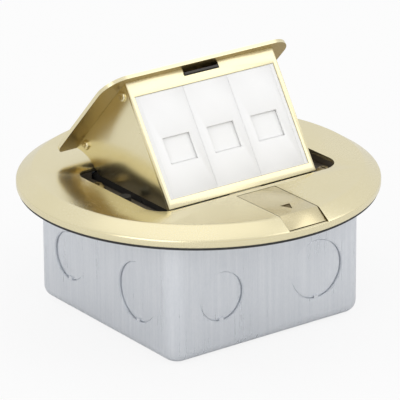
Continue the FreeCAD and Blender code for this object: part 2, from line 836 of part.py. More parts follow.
def buffer_pads():
    pieces = []
    for side, sign in (("left", "-"), ("right", "")):
        body = new_body(f"buffer_{side}")
        spot = sketch_on(body, "XY", "-ledge_depth")
        circle(spot, (f"{sign}fixing_x", "-buffer_place"), "buffer_diameter / 2")
        pad(body, spot, "ledge_depth - lid_thickness - running_gap")
        place_fixed(body)
        pieces.append(body)
    group("buffer_pads", pieces)


def hinge_side(body, x, mirrored):
    """Place a piece that is drawn along +Z, from the middle plane outward, on the hinge's axis."""
    place(
        body, f"{'-' if mirrored else ''}({x})", "pivot_back", "overall_height - pivot_depth",
        axis=(0, 1, 0), angle="-90" if mirrored else "90",
    )


def hinge_pins():
    pins = []
    clips = []
    for side, mirrored in (("left", True), ("right", False)):
        pin = new_body(f"hinge_pin_{side}")
        length = f"({BRACKET_OUTER} - pin_inner_end)"
        profile = sketch_on(pin, "XZ")
        polygon(profile, [
            ("0", "0"), ("pin_diameter / 2 - 0.4", "0"), ("pin_diameter / 2", "0.4"),
            ("pin_diameter / 2", length), ("pin_head / 2", length),
            ("pin_head / 2", f"{length} + pin_head_height * 0.6"),
            ("pin_head * 0.35", f"{length} + pin_head_height"), ("0", f"{length} + pin_head_height"),
        ])
        revolve(pin, profile)
        hinge_side(pin, "pin_inner_end", mirrored)
        pins.append(pin)
        clip = new_body(f"pin_clip_{side}")
        ring = sketch_on(clip, "XY")
        circle(ring, ("0", "0"), "clip_diameter / 2")
        circle(ring, ("0", "0"), "pin_diameter / 2")
        pad(clip, ring, "clip_thickness")
        hinge_side(clip, "pin_inner_end + clip_thickness", mirrored)
        clips.append(clip)
    group("hinge_pins", pins)
    group("pin_clips", clips)


def hinge_springs():
    """Wire springs round the pins: one leg's end under the arm's tab, the other under the frame's rear rail."""
    radius, wire, pitch = measure("hinge_coil_radius"), measure("hinge_wire"), measure("hinge_coil_pitch")
    hand_back, hand_rise = -measure("spring_arm_reach"), 0
    foot_back, foot_rise = measure("spring_foot_reach"), measure("pivot_depth - rim_height - hinge_wire / 2 - slack")
    start = math.atan2(hand_rise, hand_back) + math.acos(radius / math.hypot(hand_back, hand_rise))
    end = math.atan2(foot_rise, foot_back) - math.acos(radius / math.hypot(foot_back, foot_rise))
    turns = measure("hinge_turns") + (end - start) / (2 * math.pi) % 1
    outer = measure(f"{ARM_INNER} - hinge_wire / 2 - slack * 2")
    back, depth = measure("pivot_back"), measure("pivot_depth")
    steps = math.ceil(turns * 12)
    for side, sign in (("left", -1), ("right", 1)):
        along = FreeCAD.Vector(-sign, 0, 0)
        centre = FreeCAD.Vector(sign * outer, back, -depth)
        sections = []
        for index in range(steps + 1):
            angle = start + 2 * math.pi * turns * index / steps
            across = FreeCAD.Vector(0, math.cos(angle), math.sin(angle))
            sections.append((centre + across * radius + along * (pitch * turns * index / steps), across, along))
        hand = centre + FreeCAD.Vector(0, hand_back, hand_rise)
        foot = centre + FreeCAD.Vector(0, foot_back, foot_rise) + along * (pitch * turns)
        sections = [(hand, *sections[0][1:])] + sections + [(foot, *sections[-1][1:])]
        place_fixed(spring_feature(f"hinge_spring_{side}", spring_wire(wire, sections)))


# ---------------------------------------------------------------- release button

def release_button():
    body = new_body("release_button")
    profile = sketch_on(body, "YZ")
    polygon(profile, [
        ("-button_rear", "0"), ("-button_rear", TONGUE_TOP), ("-button_heel", TONGUE_TOP),
        ("-button_heel", "-button_toe_depth"), ("-button_toe", "-button_toe_depth"), ("-button_brow", "0"),
    ])
    pad(body, profile, "button_width", both_ways=True)
    arrow = sketch_on(body, "XY")
    polygon(arrow, [
        ("-arrow_half_width", "-arrow_base"), ("0", "-arrow_base - arrow_length"),
        ("arrow_half_width", "-arrow_base"),
    ])
    pocket(body, arrow, "arrow_depth")
    rivet_holes = sketch_on(body, "XY", TONGUE_TOP)
    for spot in rivet_places():
        circle(rivet_holes, spot, "button_rivet / 2")
    pocket(body, rivet_holes, "button_sheet / 2", backwards=True)
    place_fixed(body)
    return finish(body, "release_button")


def rivet_places():
    for y in ("-button_rivet_front", "-button_rivet_rear"):
        yield "-button_rivet_x", y
        yield "button_rivet_x", y


def latch_tongue():
    body = new_body("latch_tongue")
    outline = sketch_on(body, "XY", TONGUE_BOTTOM)
    wide, narrow = "(tongue_plate_width / 2)", "(tongue_width / 2)"
    polygon(outline, [
        (f"-{wide}", "-tongue_plate_front"), (wide, "-tongue_plate_front"), (wide, "-tongue_plate_rear"),
        (narrow, "-tongue_plate_rear"), (narrow, "-tongue_tip"), (f"-{narrow}", "-tongue_tip"),
        (f"-{narrow}", "-tongue_plate_rear"), (f"-{wide}", "-tongue_plate_rear"),
    ])
    pad(body, outline, "tongue_sheet")
    tab = sketch_on(body, "XY", TONGUE_BOTTOM)
    half = "(tongue_tab_width / 2)"
    rectangle(tab, f"-{half}", half, "-tongue_tab_rear - tongue_tab_thickness", "-tongue_tab_rear")
    pad(body, tab, f"tongue_tab_depth + {TONGUE_BOTTOM}", backwards=True)
    rivet_holes = sketch_on(body, "XY", TONGUE_TOP)
    for spot in rivet_places():
        circle(rivet_holes, spot, "button_rivet / 2")
    pocket(body, rivet_holes, "tongue_sheet")
    place_fixed(body)
    return finish(body, "latch_tongue")


def button_rivets():
    pieces = []
    for index, spot in enumerate(rivet_places(), start=1):
        body = new_body(f"button_rivet_{index}")
        disc = sketch_on(body, "XY", TONGUE_BOTTOM)
        circle(disc, spot, "button_rivet / 2")
        pad(body, disc, "tongue_sheet + button_sheet / 2")
        place_fixed(body)
        pieces.append(body)
    group("button_rivets", pieces)


def slider_spring():
    radius, wire, turns = measure("slider_coil_radius"), measure("slider_wire"), measure("slider_turns")
    length = measure("tongue_plate_front - tongue_tab_rear - tongue_tab_thickness - slack * 2") - wire
    shape = coil(radius, wire, length / turns, turns)
    feature = spring_feature("slider_spring", shape)
    place(
        feature, "0", "slack + slider_wire / 2 - tongue_plate_front",
        f"overall_height + ({CHANNEL_FLOOR} + {GROOVE_FLOOR}) / 2", angle="-90",
    )


# ---------------------------------------------------------------- carriage

def lid():
    body = new_body("lid")
    outline = sketch_on(body, "XY", FACE_Z)
    half = "(opening_width / 2 - lid_gap)"
    rear = "(pivot_back - sqrt({0}^2 - pivot_depth^2))".format(SWEEP)
    rounded_rectangle(
        outline, f"-{half}", half, "lid_gap - opening_front", rear, "lid_front_corner", "lid_rear_corner",
    )
    pad(body, outline, "lid_thickness")
    bevel = sketch_on(body, "YZ")
    low_rear = "(pivot_back - sqrt({0}^2 - (pivot_depth - lid_thickness)^2))".format(SWEEP)
    polygon(bevel, [(rear, "0"), (low_rear, FACE_Z), (f"{low_rear} + 4", FACE_Z), (f"{rear} + 4", "0")])
    pocket(body, bevel, "opening_width", both_ways=True)
    tabs = []
    for along in ("lid_screw_front", "lid_screw_rear"):
        middle = f"{FACE_Y} + {along}"
        tab = sketch_on(body, "YZ", ARM_INNER)
        low = f"{middle} - tab_length * 0.4"
        polygon(tab, [
            (low, FACE_Z), (f"{low} + tab_length", FACE_Z),
            (f"{low} + tab_length", f"{FACE_Z} - tab_height"), (low, f"{FACE_Z} - tab_height"),
        ])
        tabs.append(pad(body, tab, "lid_thickness", backwards=True))
        hole = sketch_on(body, "YZ", ARM_INNER)
        circle(hole, (middle, f"{FACE_Z} - lid_screw_drop"), "lid_screw / 2")
        tabs.append(pocket(body, hole, "lid_thickness"))
    mirror_left(body, tabs)
    place_on_carriage(body)
    return finish(body, "lid")


def screw_holes(body, depth):
    holes = sketch_on(body, "YZ", "shroud_width / 2")
    for along in ("lid_screw_front", "lid_screw_rear"):
        circle(holes, (f"{FACE_Y} + {along}", f"{FACE_Z} - lid_screw_drop"), "lid_screw / 2")
    return pocket(body, holes, depth)


def shroud():
    body = new_body("shroud")
    foot = on_face("face_length", "0")
    plate = sketch_on(body, "YZ")
    slant = "shroud_sheet / sin(face_angle)"
    polygon(plate, [
        (FACE_Y, FACE_Z), (f"{FACE_Y} + {slant}", FACE_Z), on_face("face_length", "shroud_sheet"), foot,
    ])
    pad(body, plate, "shroud_width", both_ways=True)
    window = sketch_on_face(body)
    rectangle(window, "-window_width / 2", "window_width / 2", "-window_top - window_height", "-window_top")
    pocket(body, window, "shroud_sheet * 2", both_ways=True)
    notch = sketch_on_face(body)
    rectangle(notch, "-notch_width / 2", "notch_width / 2", "-notch_depth", "1")
    pocket(body, notch, "shroud_sheet * 2 + 1", both_ways=True)
    cheek = sketch_on(body, "YZ", CHEEK_INNER)
    polygon(cheek, [
        (FACE_Y, FACE_Z), (f"{FACE_Y} + cheek_top_reach", FACE_Z), ("cheek_corner_y", "-cheek_corner_z"), foot,
    ])
    side = pad(body, cheek, "shroud_sheet")
    relief = sketch_on(body, "YZ", CHEEK_INNER)
    half_disc(relief, ("pivot_back", "-pivot_depth"), f"{SWEEP} + cheek_relief")
    scoop = pocket(body, relief, "shroud_sheet", backwards=True)
    holes = screw_holes(body, "shroud_sheet")
    mirror_left(body, [side, scoop, holes])
    place_on_carriage(body)
    return finish(body, "shroud")


def lid_screws():
    pieces = []
    for along in ("lid_screw_front", "lid_screw_rear"):
        for side, mirrored in (("left", True), ("right", False)):
            body = screw(
                f"{along}_{side}", "shroud_sheet + arm_sheet + lid_thickness", "lid_screw",
                "lid_screw_head", "lid_screw_head_height",
            )
            y, z = opened(f"{FACE_Y} + {along}", f"{FACE_Z} - lid_screw_drop")
            sign, turn = ("-", "-90") if mirrored else ("", "90")
            place(body, f"{sign}shroud_width / 2", y, z, axis=(0, 1, 0), angle=turn)
            pieces.append(body)
    group("lid_screws", pieces)


def arm(side, mirrored):
    body = new_body(f"arm_{side}")
    inner = f"-{ARM_INNER}" if mirrored else ARM_INNER

    def plate(points, reach="arm_sheet", start=inner, towards_middle=False):
        outline = sketch_on(body, "YZ", start)
        polygon(outline, points)
        return pad(body, outline, reach, backwards=mirrored != towards_middle)

    corner = ("cheek_corner_y", "-cheek_corner_z")
    plate([
        (f"{FACE_Y} + arm_inset / sin(face_angle)", FACE_Z), (f"{FACE_Y} + cheek_top_reach", FACE_Z), corner,
        shut("arm_rear", "-arm_depth"), shut("-arm_front", "-arm_depth"), on_face("face_length", "arm_inset"),
    ])
    relief = sketch_on(body, "YZ", inner)
    half_disc(relief, ("pivot_back", "-pivot_depth"), f"{SWEEP} + cheek_relief")
    pocket(body, relief, "arm_sheet", backwards=not mirrored)
    boss = "(arm_boss / 2)"
    plate([
        (f"pivot_back - {SWEEP} - cheek_relief", "-pivot_depth - 0.6"), ("pivot_back", f"{boss} - pivot_depth - 1"),
        ("pivot_back", f"-{boss} - pivot_depth"), shut("arm_rear", "-arm_depth"),
    ])
    hub = sketch_on(body, "YZ", inner)
    circle(hub, ("pivot_back", "-pivot_depth"), boss)
    pad(body, hub, "arm_sheet", backwards=mirrored)
    stop_low, stop_high = "-rim_height - running_gap - arm_sheet", "-rim_height - running_gap"
    plate([
        shut("-stop_tab_front", stop_low), shut("-stop_tab_front + stop_tab_length", stop_low),
        shut("-stop_tab_front + stop_tab_length", stop_high), shut("-stop_tab_front", stop_high),
    ], reach="arm_sheet + stop_tab_reach")
    near, far = "pivot_back - spring_arm_reach + 0.5", "pivot_back - spring_arm_reach + 3"
    under, over = "hinge_wire / 2 + slack - pivot_depth", "hinge_wire / 2 + slack + arm_sheet - pivot_depth"
    plate([
        shut(near, under), shut(far, under), shut(far, over), shut(near, over),
    ], reach="hinge_coil_pitch * 2", towards_middle=True)
    holes = sketch_on(body, "YZ", inner)
    circle(holes, ("pivot_back", "-pivot_depth"), "pin_diameter / 2 + bush_wall")
    circle(holes, shut("-tie_front", "-tie_depth"), "tie_diameter / 2")
    for along in ("lid_screw_front", "lid_screw_rear"):
        circle(holes, (f"{FACE_Y} + {along}", f"{FACE_Z} - lid_screw_drop"), "lid_screw / 2")
    for down in ("peg_upper", "peg_lower"):
        circle(holes, on_face(down, "peg_depth"), "peg_diameter / 2")
    pocket(body, holes, "arm_sheet", backwards=not mirrored)
    place_on_carriage(body)
    return finish(body, f"arm_{side}")


def arm_bushes():
    pieces = []
    for side, mirrored in (("left", True), ("right", False)):
        body = new_body(f"arm_bush_{side}")
        profile = sketch_on(body, "XZ")
        inner, outer = "pin_diameter / 2 + 0.05", "pin_diameter / 2 + bush_wall"
        top = f"(well_half_width - slack - {ARM_INNER})"
        polygon(profile, [
            (inner, "0"), (outer, "0"), (outer, "arm_sheet"), ("bush_flange / 2", "arm_sheet"),
            ("bush_flange / 2", top), (inner, top),
        ])
        revolve(body, profile)
        hinge_side(body, ARM_INNER, mirrored)
        pieces.append(body)
    group("arm_bushes", pieces)


def tie_bar():
    body = new_body("tie_bar")
    section = sketch_on(body, "YZ")
    circle(section, shut("-tie_front", "-tie_depth"), "tie_diameter / 2")
    pad(body, section, f"2 * {CHEEK_INNER}", both_ways=True)
    place_on_carriage(body)
    return finish(body, "tie_bar")


def latch_keeper():
    """Drawn on the module face: a plate behind the top bar with a shelf through the notch."""
    body = new_body("latch_keeper")
    plate = sketch_on(body, "XY", "-shroud_sheet - keeper_sheet")
    half, gap = "(keeper_width / 2)", "(notch_width / 2 - slack * 2)"
    shelf_top = "-keeper_shelf_top"
    polygon(plate, [
        (f"-{half}", "-keeper_bottom"), (half, "-keeper_bottom"), (half, "-1.2"), (gap, "-1.2"),
        (gap, shelf_top), (f"-{gap}", shelf_top), (f"-{gap}", "-1.2"), (f"-{half}", "-1.2"),
    ])
    pad(body, plate, "keeper_sheet")
    shelf = sketch_on(body, "XY", "-shroud_sheet")
    rectangle(shelf, f"-{gap}", gap, f"{shelf_top} - keeper_shelf", shelf_top)
    pad(body, shelf, "shroud_sheet + keeper_lip")
    place_on_face(body)
    return finish(body, "latch_keeper")


# ---------------------------------------------------------------- data modules

def module_carrier():
    body = new_body("module_carrier")
    top, bottom = "(-window_top - slack)", f"(-window_top - slack - {CARRIER_HEIGHT})"
    side = f"({ARM_INNER} - lid_thickness - slack)"
    front = sketch_on(body, "XY", PLATE_BACK)
    rectangle(front, f"-{CARRIER_HALF}", CARRIER_HALF, bottom, top)
    pad(body, front, "plate_depth")
    seat = sketch_on(body, "XY", PLATE_BACK)
    rectangle(seat, f"-{ARM_INNER}", ARM_INNER, bottom, top)
    pad(body, seat, "carrier_seat", backwards=True)
    rear = sketch_on(body, "XY", PLATE_BACK)
    rectangle(rear, f"-{side}", side, bottom, top)
    pad(body, rear, "carrier_depth - plate_depth", backwards=True)
    lip = sketch_on(body, "XY", "-shroud_sheet")
    rectangle(lip, f"-{side}", side, f"{bottom} - carrier_lip", f"{top} + carrier_lip")
    pad(body, lip, "carrier_lip_depth", backwards=True)
    half = "(module_pitch * 1.5)"
    seats = sketch_on(body, "XY", PLATE_FRONT)
    rectangle(seats, f"-{half}", half, bottom, top)
    pocket(body, seats, "plate_depth")
    inside = sketch_on(body, "XY", PLATE_BACK)
    inner = f"({side} - carrier_wall)"
    rectangle(inside, f"-{inner}", inner, f"{bottom} + carrier_wall", f"{top} - carrier_wall")
    pocket(body, inside, "carrier_depth")
    for sign in ("-", ""):
        pegs = sketch_on(body, "YZ", f"{sign}{side}")
        for down in ("peg_upper", "peg_lower"):
            circle(pegs, (f"-{down}", "-peg_depth"), "peg_diameter / 2")
        pad(body, pegs, f"{CHEEK_INNER} - {side}", backwards=bool(sign))
    place_on_face(body)
    return finish(body, "module_carrier")


def faceplate(number, shift):
    body = new_body(f"faceplate_{number}")
    half = "(module_pitch / 2 - slack / 2)"
    top, bottom = "(-window_top - slack)", f"(-window_top - slack - {CARRIER_HEIGHT})"
    outline = sketch_on(body, "XY", PLATE_FRONT)
    rectangle(outline, f"-{half}", half, bottom, top)
    pad(body, outline, "plate_depth", backwards=True)
    port = sketch_on(body, "XY", PLATE_FRONT)
    rectangle(port, "-port_width / 2", "port_width / 2", "-port_top - port_height", "-port_top")
    pocket(body, port, "plate_depth")
    track = sketch_on(body, "XY", PLATE_BACK)
    lap = "(port_width / 2 + shutter_lap + running_gap)"
    rectangle(track, f"-{lap}", lap, "-track_bottom", "-track_top")
    pocket(body, track, "plate_depth - plate_skin", backwards=True)
    place_on_face(body, shift)
    return finish(body, f"faceplate_{number}")


def shutter(number, shift):
    body = new_body(f"shutter_{number}")
    half = "(port_width / 2 + shutter_lap)"
    outline = sketch_on(body, "XY", SHUTTER_FRONT)
    rectangle(outline, f"-{half}", half, "-port_top - port_height - shutter_lap", f"-{SHUTTER_TOP}")
    pad(body, outline, "shutter_thickness", backwards=True)
    ridge = sketch_on(body, "XY", SHUTTER_FRONT)
    rectangle(
        ridge, "-port_width / 2 + 0.6", "port_width / 2 - 0.6", "-port_top - port_height + 0.5",
        "-port_top - port_height + 1.2",
    )
    pad(body, ridge, "running_gap")
    place_on_face(body, shift)
    return finish(body, f"shutter_{number}")


def shutter_spring(number, shift):
    radius, wire, turns = measure("shutter_coil_radius"), measure("shutter_wire"), measure("shutter_turns")
    length = measure(f"{SHUTTER_TOP} - track_top - slack * 2") - wire
    feature = spring_feature(f"shutter_spring_{number}", coil(radius, wire, length / turns, turns))
    place_on_face(
        feature, shift, f"{SHUTTER_TOP} - slack - shutter_wire / 2",
        "module_recess + plate_skin + slack + shutter_wire / 2 + shutter_coil_radius", "-90",
    )


def jack(number, shift):
    body = new_body(f"jack_{number}")
    half = "(jack_width / 2)"
    outline = sketch_on(body, "XY", PLATE_BACK)
    rectangle(outline, f"-{half}", half, "-jack_top - jack_height", "-jack_top")
    pad(body, outline, "jack_length", backwards=True)
    socket = sketch_on(body, "XY", PLATE_BACK)
    rectangle(socket, "-socket_width / 2", "socket_width / 2", "-socket_top - socket_height", "-socket_top")
    pocket(body, socket, "socket_depth")
    key = sketch_on(body, "XY", PLATE_BACK)
    low = "-socket_top - socket_height"
    rectangle(key, "-key_width / 2", "key_width / 2", f"{low} - key_height", low)
    pocket(body, key, "socket_depth")
    place_on_face(body, shift)
    finish(body, f"jack_{number}")

    cap = new_body(f"wire_cap_{number}")
    block = sketch_on(cap, "XY", f"{PLATE_BACK} - jack_length")
    rectangle(block, f"-{half}", half, "-jack_top - jack_height", "-jack_top")
    pad(cap, block, "cap_length", backwards=True)
    grooves = sketch_on(cap, "XY", f"{PLATE_BACK} - jack_length - cap_length")
    for step in (-1.5, -0.5, 0.5, 1.5):
        middle = f"{step} * cap_groove_pitch"
        for edge, sign in (("-jack_top", "-"), ("-jack_top - jack_height", "+")):
            near, far = f"{edge} {sign} cap_groove_depth", edge
            low_y, high_y = (near, far) if sign == "-" else (far, near)
            rectangle(
                grooves, f"{middle} - cap_groove_width / 2", f"{middle} + cap_groove_width / 2", low_y, high_y,
            )
    pocket(cap, grooves, "cap_length * 0.7", backwards=True)
    place_on_face(cap, shift)
    finish(cap, f"wire_cap_{number}")


def jack_contacts(number, shift):
    """Eight sprung wires that slope from the roof of the socket, behind its mouth, towards its back."""
    wires = []
    for index in range(8):
        wire = doc.addObject("Part::Box", f"contact_{number}_{index + 1}")
        bind(wire, "Length", "contact_width")
        bind(wire, "Width", "contact_width")
        bind(wire, "Height", "contact_length")
        wires.append((wire, f"({index} - 3.5) * contact_pitch - contact_width / 2"))
    for wire, x in wires:
        place_on_face(
            wire, f"{shift} + {x}", "socket_top + slack",
            "module_recess + plate_depth + contact_setback", "180 - contact_angle",
        )
    group(f"jack_contacts_{number}", [wire for wire, _ in wires])


def build():
    back_box()
    earth_stud()
    fixing_lugs()
    fixing_screws()
    gasket()
    flange()
    mounting_frame()
    frame_screws()
    buffer_pads()
    hinge_pins()
    hinge_springs()
    release_button()
    latch_tongue()
    button_rivets()
    slider_spring()
    lid()
    shroud()
    lid_screws()
    arm("left", True)
    arm("right", False)
    arm_bushes()
    tie_bar()
    latch_keeper()
    module_carrier()
    for number, shift in ((1, "-module_pitch"), (2, "0"), (3, "module_pitch")):
        faceplate(number, shift)
        shutter(number, shift)
        shutter_spring(number, shift)
        jack(number, shift)
        jack_contacts(number, shift)
    doc.recompute()


def check():
    """Stop if any object failed or any sub-part has no sound solid."""
    faults = []
    for obj in doc.Objects:
        if any(state in ("Invalid", "Error") for state in obj.State):
            faults.append(f"{obj.Name}: {obj.State}")
    for obj in SUB_PARTS:
        shape = obj.Shape
        if shape.isNull() or not shape.isValid() or not shape.Solids or shape.Volume <= 0:
            faults.append(f"{obj.Label}: shape is empty or not valid")
    if faults:
        raise SystemExit("\n".join(faults))


def write():
    os.makedirs("parts", exist_ok=True)
    for obj in SUB_PARTS:
        obj.Shape.exportStep(f"parts/{obj.Label}.step")
        print(f"{obj.Label}: {len(obj.Shape.Solids)} solid(s), {obj.Shape.Volume:.1f} mm3")


build()
check()
write()
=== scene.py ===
import logging
import math
from dataclasses import dataclass
from enum import Enum
from typing import Callable, Iterable, Optional, Sequence, Union

import bpy
from bpy.types import Material, Node, NodeSocket, World
from mathutils import Matrix, Vector


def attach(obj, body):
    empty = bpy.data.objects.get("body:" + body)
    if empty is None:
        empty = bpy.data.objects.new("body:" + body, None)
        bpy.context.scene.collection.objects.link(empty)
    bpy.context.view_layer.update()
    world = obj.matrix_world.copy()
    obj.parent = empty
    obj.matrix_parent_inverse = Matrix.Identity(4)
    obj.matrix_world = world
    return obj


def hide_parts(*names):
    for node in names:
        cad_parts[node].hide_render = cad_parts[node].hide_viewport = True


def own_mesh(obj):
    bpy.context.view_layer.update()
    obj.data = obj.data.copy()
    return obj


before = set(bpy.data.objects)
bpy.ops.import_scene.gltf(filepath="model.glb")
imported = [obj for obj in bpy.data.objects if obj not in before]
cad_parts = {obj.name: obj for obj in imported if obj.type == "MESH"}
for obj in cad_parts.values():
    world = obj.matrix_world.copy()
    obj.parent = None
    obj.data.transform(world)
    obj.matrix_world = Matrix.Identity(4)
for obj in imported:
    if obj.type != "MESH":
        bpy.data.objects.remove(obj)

LOG = logging.getLogger("floor_box")
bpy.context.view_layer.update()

Point = tuple[float, float]
Triple = tuple[float, float, float]
Number = Union[float, "Value"]

MM = 0.001
OVERALL_HEIGHT = 63.0  # from the box's underside to the flange's top
PIVOT = Vector((0.0, 35.2, -16.0))  # the carriage's hinge
OPEN_ANGLE = 47.0  # how far the open carriage stands from its shut place
FACE_ANGLE = 76.4  # the module face's slope, with the lid shut
FACE_LINE = Vector((0.0, -33.6, -1.6))  # where the module face meets the lid, with the lid shut
SCREW_PLACES = (-27.6, 12.4)  # the lid screws along Y, with the lid shut
SMOOTH_ANGLE = 35.0  # neighbouring faces up to this angle shade as one
NOISE_AVERAGE = 0.5
CUT_PAST = 1.0  # how far a cutting shape reaches past what it cuts


# ---- shader helpers

class Value:
    """A shader socket that Python's operators can work on."""

    def __init__(self, shader: "Shader", socket: NodeSocket) -> None:
        """Wrap one output socket of a shader's tree."""
        self.shader = shader
        self.socket = socket

    def _with(self, operation: str, first: Number, second: Number) -> "Value":
        """Add one Math node and return its output."""
        return self.shader.math(operation, first, second)

    def __add__(self, other: Number) -> "Value":
        """self + other."""
        return self._with("ADD", self, other)

    def __radd__(self, other: Number) -> "Value":
        """other + self."""
        return self._with("ADD", other, self)

    def __sub__(self, other: Number) -> "Value":
        """self - other."""
        return self._with("SUBTRACT", self, other)

    def __rsub__(self, other: Number) -> "Value":
        """other - self."""
        return self._with("SUBTRACT", other, self)

    def __mul__(self, other: Number) -> "Value":
        """self * other."""
        return self._with("MULTIPLY", self, other)

    def __rmul__(self, other: Number) -> "Value":
        """other * self."""
        return self._with("MULTIPLY", other, self)

    def sway(self, spread: float) -> "Value":
        """How far a noise factor is from its average, times a spread."""
        return (self - NOISE_AVERAGE) * spread


class Shader:
    """A material's or a world's node tree, built from expressions."""

    def __init__(self, owner: Union[Material, World]) -> None:
        """Start with an output node alone.

        Args:
            owner: the material or world.
        """
        self.owner = owner
        owner.use_nodes = True
        self.tree = owner.node_tree
        self.tree.nodes.clear()
        kind = "World" if isinstance(owner, World) else "Material"
        self.output = self.tree.nodes.new(f"ShaderNodeOutput{kind}")

    def node(
        self, kind: str, settings: Optional[dict] = None, inputs: Optional[dict] = None,
    ) -> Node:
        """Add any node.

        Args:
            kind: the node's type name.
            settings: attributes to set first, with "ramp" for a colour ramp's stops.
            inputs: socket name or index to a number, colour, Value or output socket.

        Returns:
            The new node.
        """
        made = self.tree.nodes.new(kind)
        for key, value in (settings or {}).items():
            if key == "ramp":
                stops = made.color_ramp.elements
                while len(stops) < len(value):
                    stops.new(0.5)
                for stop, (place, colour) in zip(stops, value):
                    stop.position = place
                    stop.color = (*colour, 1.0)
            else:
                setattr(made, key, value)
        for key, value in (inputs or {}).items():
            target = made.inputs[key]
            if isinstance(value, Value):
                self.tree.links.new(value.socket, target)
            elif isinstance(value, NodeSocket):
                self.tree.links.new(value, target)
            elif isinstance(value, tuple) and len(value) == 3 and target.type == "RGBA":
                target.default_value = (*value, 1.0)
            else:
                target.default_value = value
        return made

    def math(self, operation: str, first: Number, second: Number) -> Value:
        """One Math node.

        Args:
            operation: the node's operation.
            first: a number or Value.
            second: a number or Value.

        Returns:
            The node's output.
        """
        made = self.node("ShaderNodeMath", {"operation": operation}, {0: first, 1: second})
        return Value(self, made.outputs[0])

    def noise(
        self, scales: Triple, detail: float, roughness: float, turn: Triple = (0.0, 0.0, 0.0),
    ) -> Value:
        """A Noise texture's factor, about 0.5 on average.

        Args:
            scales: how often the pattern repeats for each millimetre along each turned axis.
            detail: the number of octaves.
            roughness: how strong the finer octaves are.
            turn: Euler angles in degrees that undo the piece's own tilt.

        Returns:
            The factor.
        """
        source = self.node("ShaderNodeTexCoord").outputs["Object"]
        turned = self.node(
            "ShaderNodeMapping", {"vector_type": "POINT"},
            {"Vector": source, "Rotation": tuple(math.radians(angle) for angle in turn)},
        )
        stretched = self.node(
            "ShaderNodeMapping", {"vector_type": "POINT"},
            {"Vector": turned.outputs[0], "Scale": tuple(scale / MM for scale in scales)},
        )
        made = self.node("ShaderNodeTexNoise", None, {
            "Vector": stretched.outputs[0], "Scale": 1.0, "Detail": detail, "Roughness": roughness,
        })
        return Value(self, made.outputs["Fac"])

    def even_noise(self, scale: float, detail: float, roughness: float) -> Value:
        """Noise that repeats equally often along all three axes."""
        return self.noise((scale, scale, scale), detail, roughness)

    def ramp(self, factor: Value, low: float, high: float) -> Value:
        """Stretch a factor so that low becomes 0 and high becomes 1, held between them.

        Args:
            factor: the factor.
            low: its value that becomes 0.
            high: its value that becomes 1.

        Returns:
            The stretched factor.
        """
        made = self.node(
            "ShaderNodeMapRange", {"clamp": True}, {"Value": factor, "From Min": low, "From Max": high},
        )
        return Value(self, made.outputs["Result"])

    def mix(self, factor: Number, first: object, second: object) -> NodeSocket:
        """Mix two colours.

        Args:
            factor: 0 for the first colour, 1 for the second.
            first: a colour or a colour output.
            second: a colour or a colour output.

        Returns:
            The mixed colour's output.
        """
        made = self.node("ShaderNodeMix", {"data_type": "RGBA"}, {0: factor, 6: first, 7: second})
        return made.outputs[2]

    def bump(self, height: Value, strength: float, distance: float) -> NodeSocket:
        """A Bump node's normal.

        Args:
            height: the height factor.
            strength: how strongly it tilts the surface.
            distance: the height in millimetres of a factor of 1.

        Returns:
            The normal's output.
        """
        made = self.node(
            "ShaderNodeBump", None, {"Height": height, "Strength": strength, "Distance": distance * MM},
        )
        return made.outputs["Normal"]

    def finish(self, **inputs: object) -> Material:
        """Close the tree with a Principled shader.

        Args:
            inputs: the shader's sockets, with underscores for spaces.

        Returns:
            The finished material.
        """
        named = {key.replace("_", " "): value for key, value in inputs.items()}
        return self.close(self.node("ShaderNodeBsdfPrincipled", None, named))

    def close(self, last: Node) -> Union[Material, World]:
        """Lead the last node into the output, and return the tree's owner."""
        self.tree.links.new(last.outputs[0], self.output.inputs["Surface"])
        return self.owner


# ---- finishes

class Grain(Enum):
    """Which way a brushed surface's fine lines run, as pattern scales along each axis."""

    ALONG_X = (0.05, 4.0, 4.0)
    ALONG_Y = (4.0, 0.05, 4.0)
    ALONG_Z = (4.0, 4.0, 0.04)
    EVEN = (2.5, 2.5, 2.5)


@dataclass(frozen=True)
class Brass:
    """Pale satin brass with a fine brushed grain."""

    name: str
    grain: Grain = Grain.EVEN
    light: Triple = (0.88, 0.805, 0.55)
    dark: Triple = (0.84, 0.755, 0.48)
    roughness: float = 0.26
    spread: float = 0.06
    relief: float = 0.03
    turn: Triple = (0.0, 0.0, 0.0)
    relief_depth: float = 0.05
    cloud_scale: float = 0.03
    cloud_share: float = 0.35
    tone_range: Point = (0.32, 0.68)
    speck_scale: float = 1.6
    speck_share: float = 0.4
    wear_range: Point = (0.35, 0.65)
    wear_spread: float = 0.04

    def build(self) -> Material:
        """Make the material.

        Returns:
            The material.
        """
        shader = Shader(bpy.data.materials.new(self.name))
        lines = shader.noise(self.grain.value, 4.0, 0.6, self.turn)
        clouds = shader.even_noise(self.cloud_scale, 2.0, 0.5)
        specks = shader.even_noise(self.speck_scale, 3.0, 0.6)
        tone = shader.ramp(lines * (1 - self.cloud_share) + clouds * self.cloud_share, *self.tone_range)
        wear = shader.ramp(clouds * (1 - self.speck_share) + specks * self.speck_share, *self.wear_range)
        return shader.finish(
            Base_Color=shader.mix(tone, self.dark, self.light),
            Metallic=1.0,
            Roughness=self.roughness + lines.sway(self.spread) + wear.sway(self.wear_spread),
            Normal=shader.bump(lines, self.relief, self.relief_depth),
        )


# Dark brass that paints shade on recessed and hidden faces: the button's channel, and the button's sides,
# underside and engraved arrow.
SHADE_BRASS = Brass("brass_painted_shade", Grain.EVEN, (0.22, 0.17, 0.08), (0.16, 0.12, 0.05), 0.45, relief=0.008)


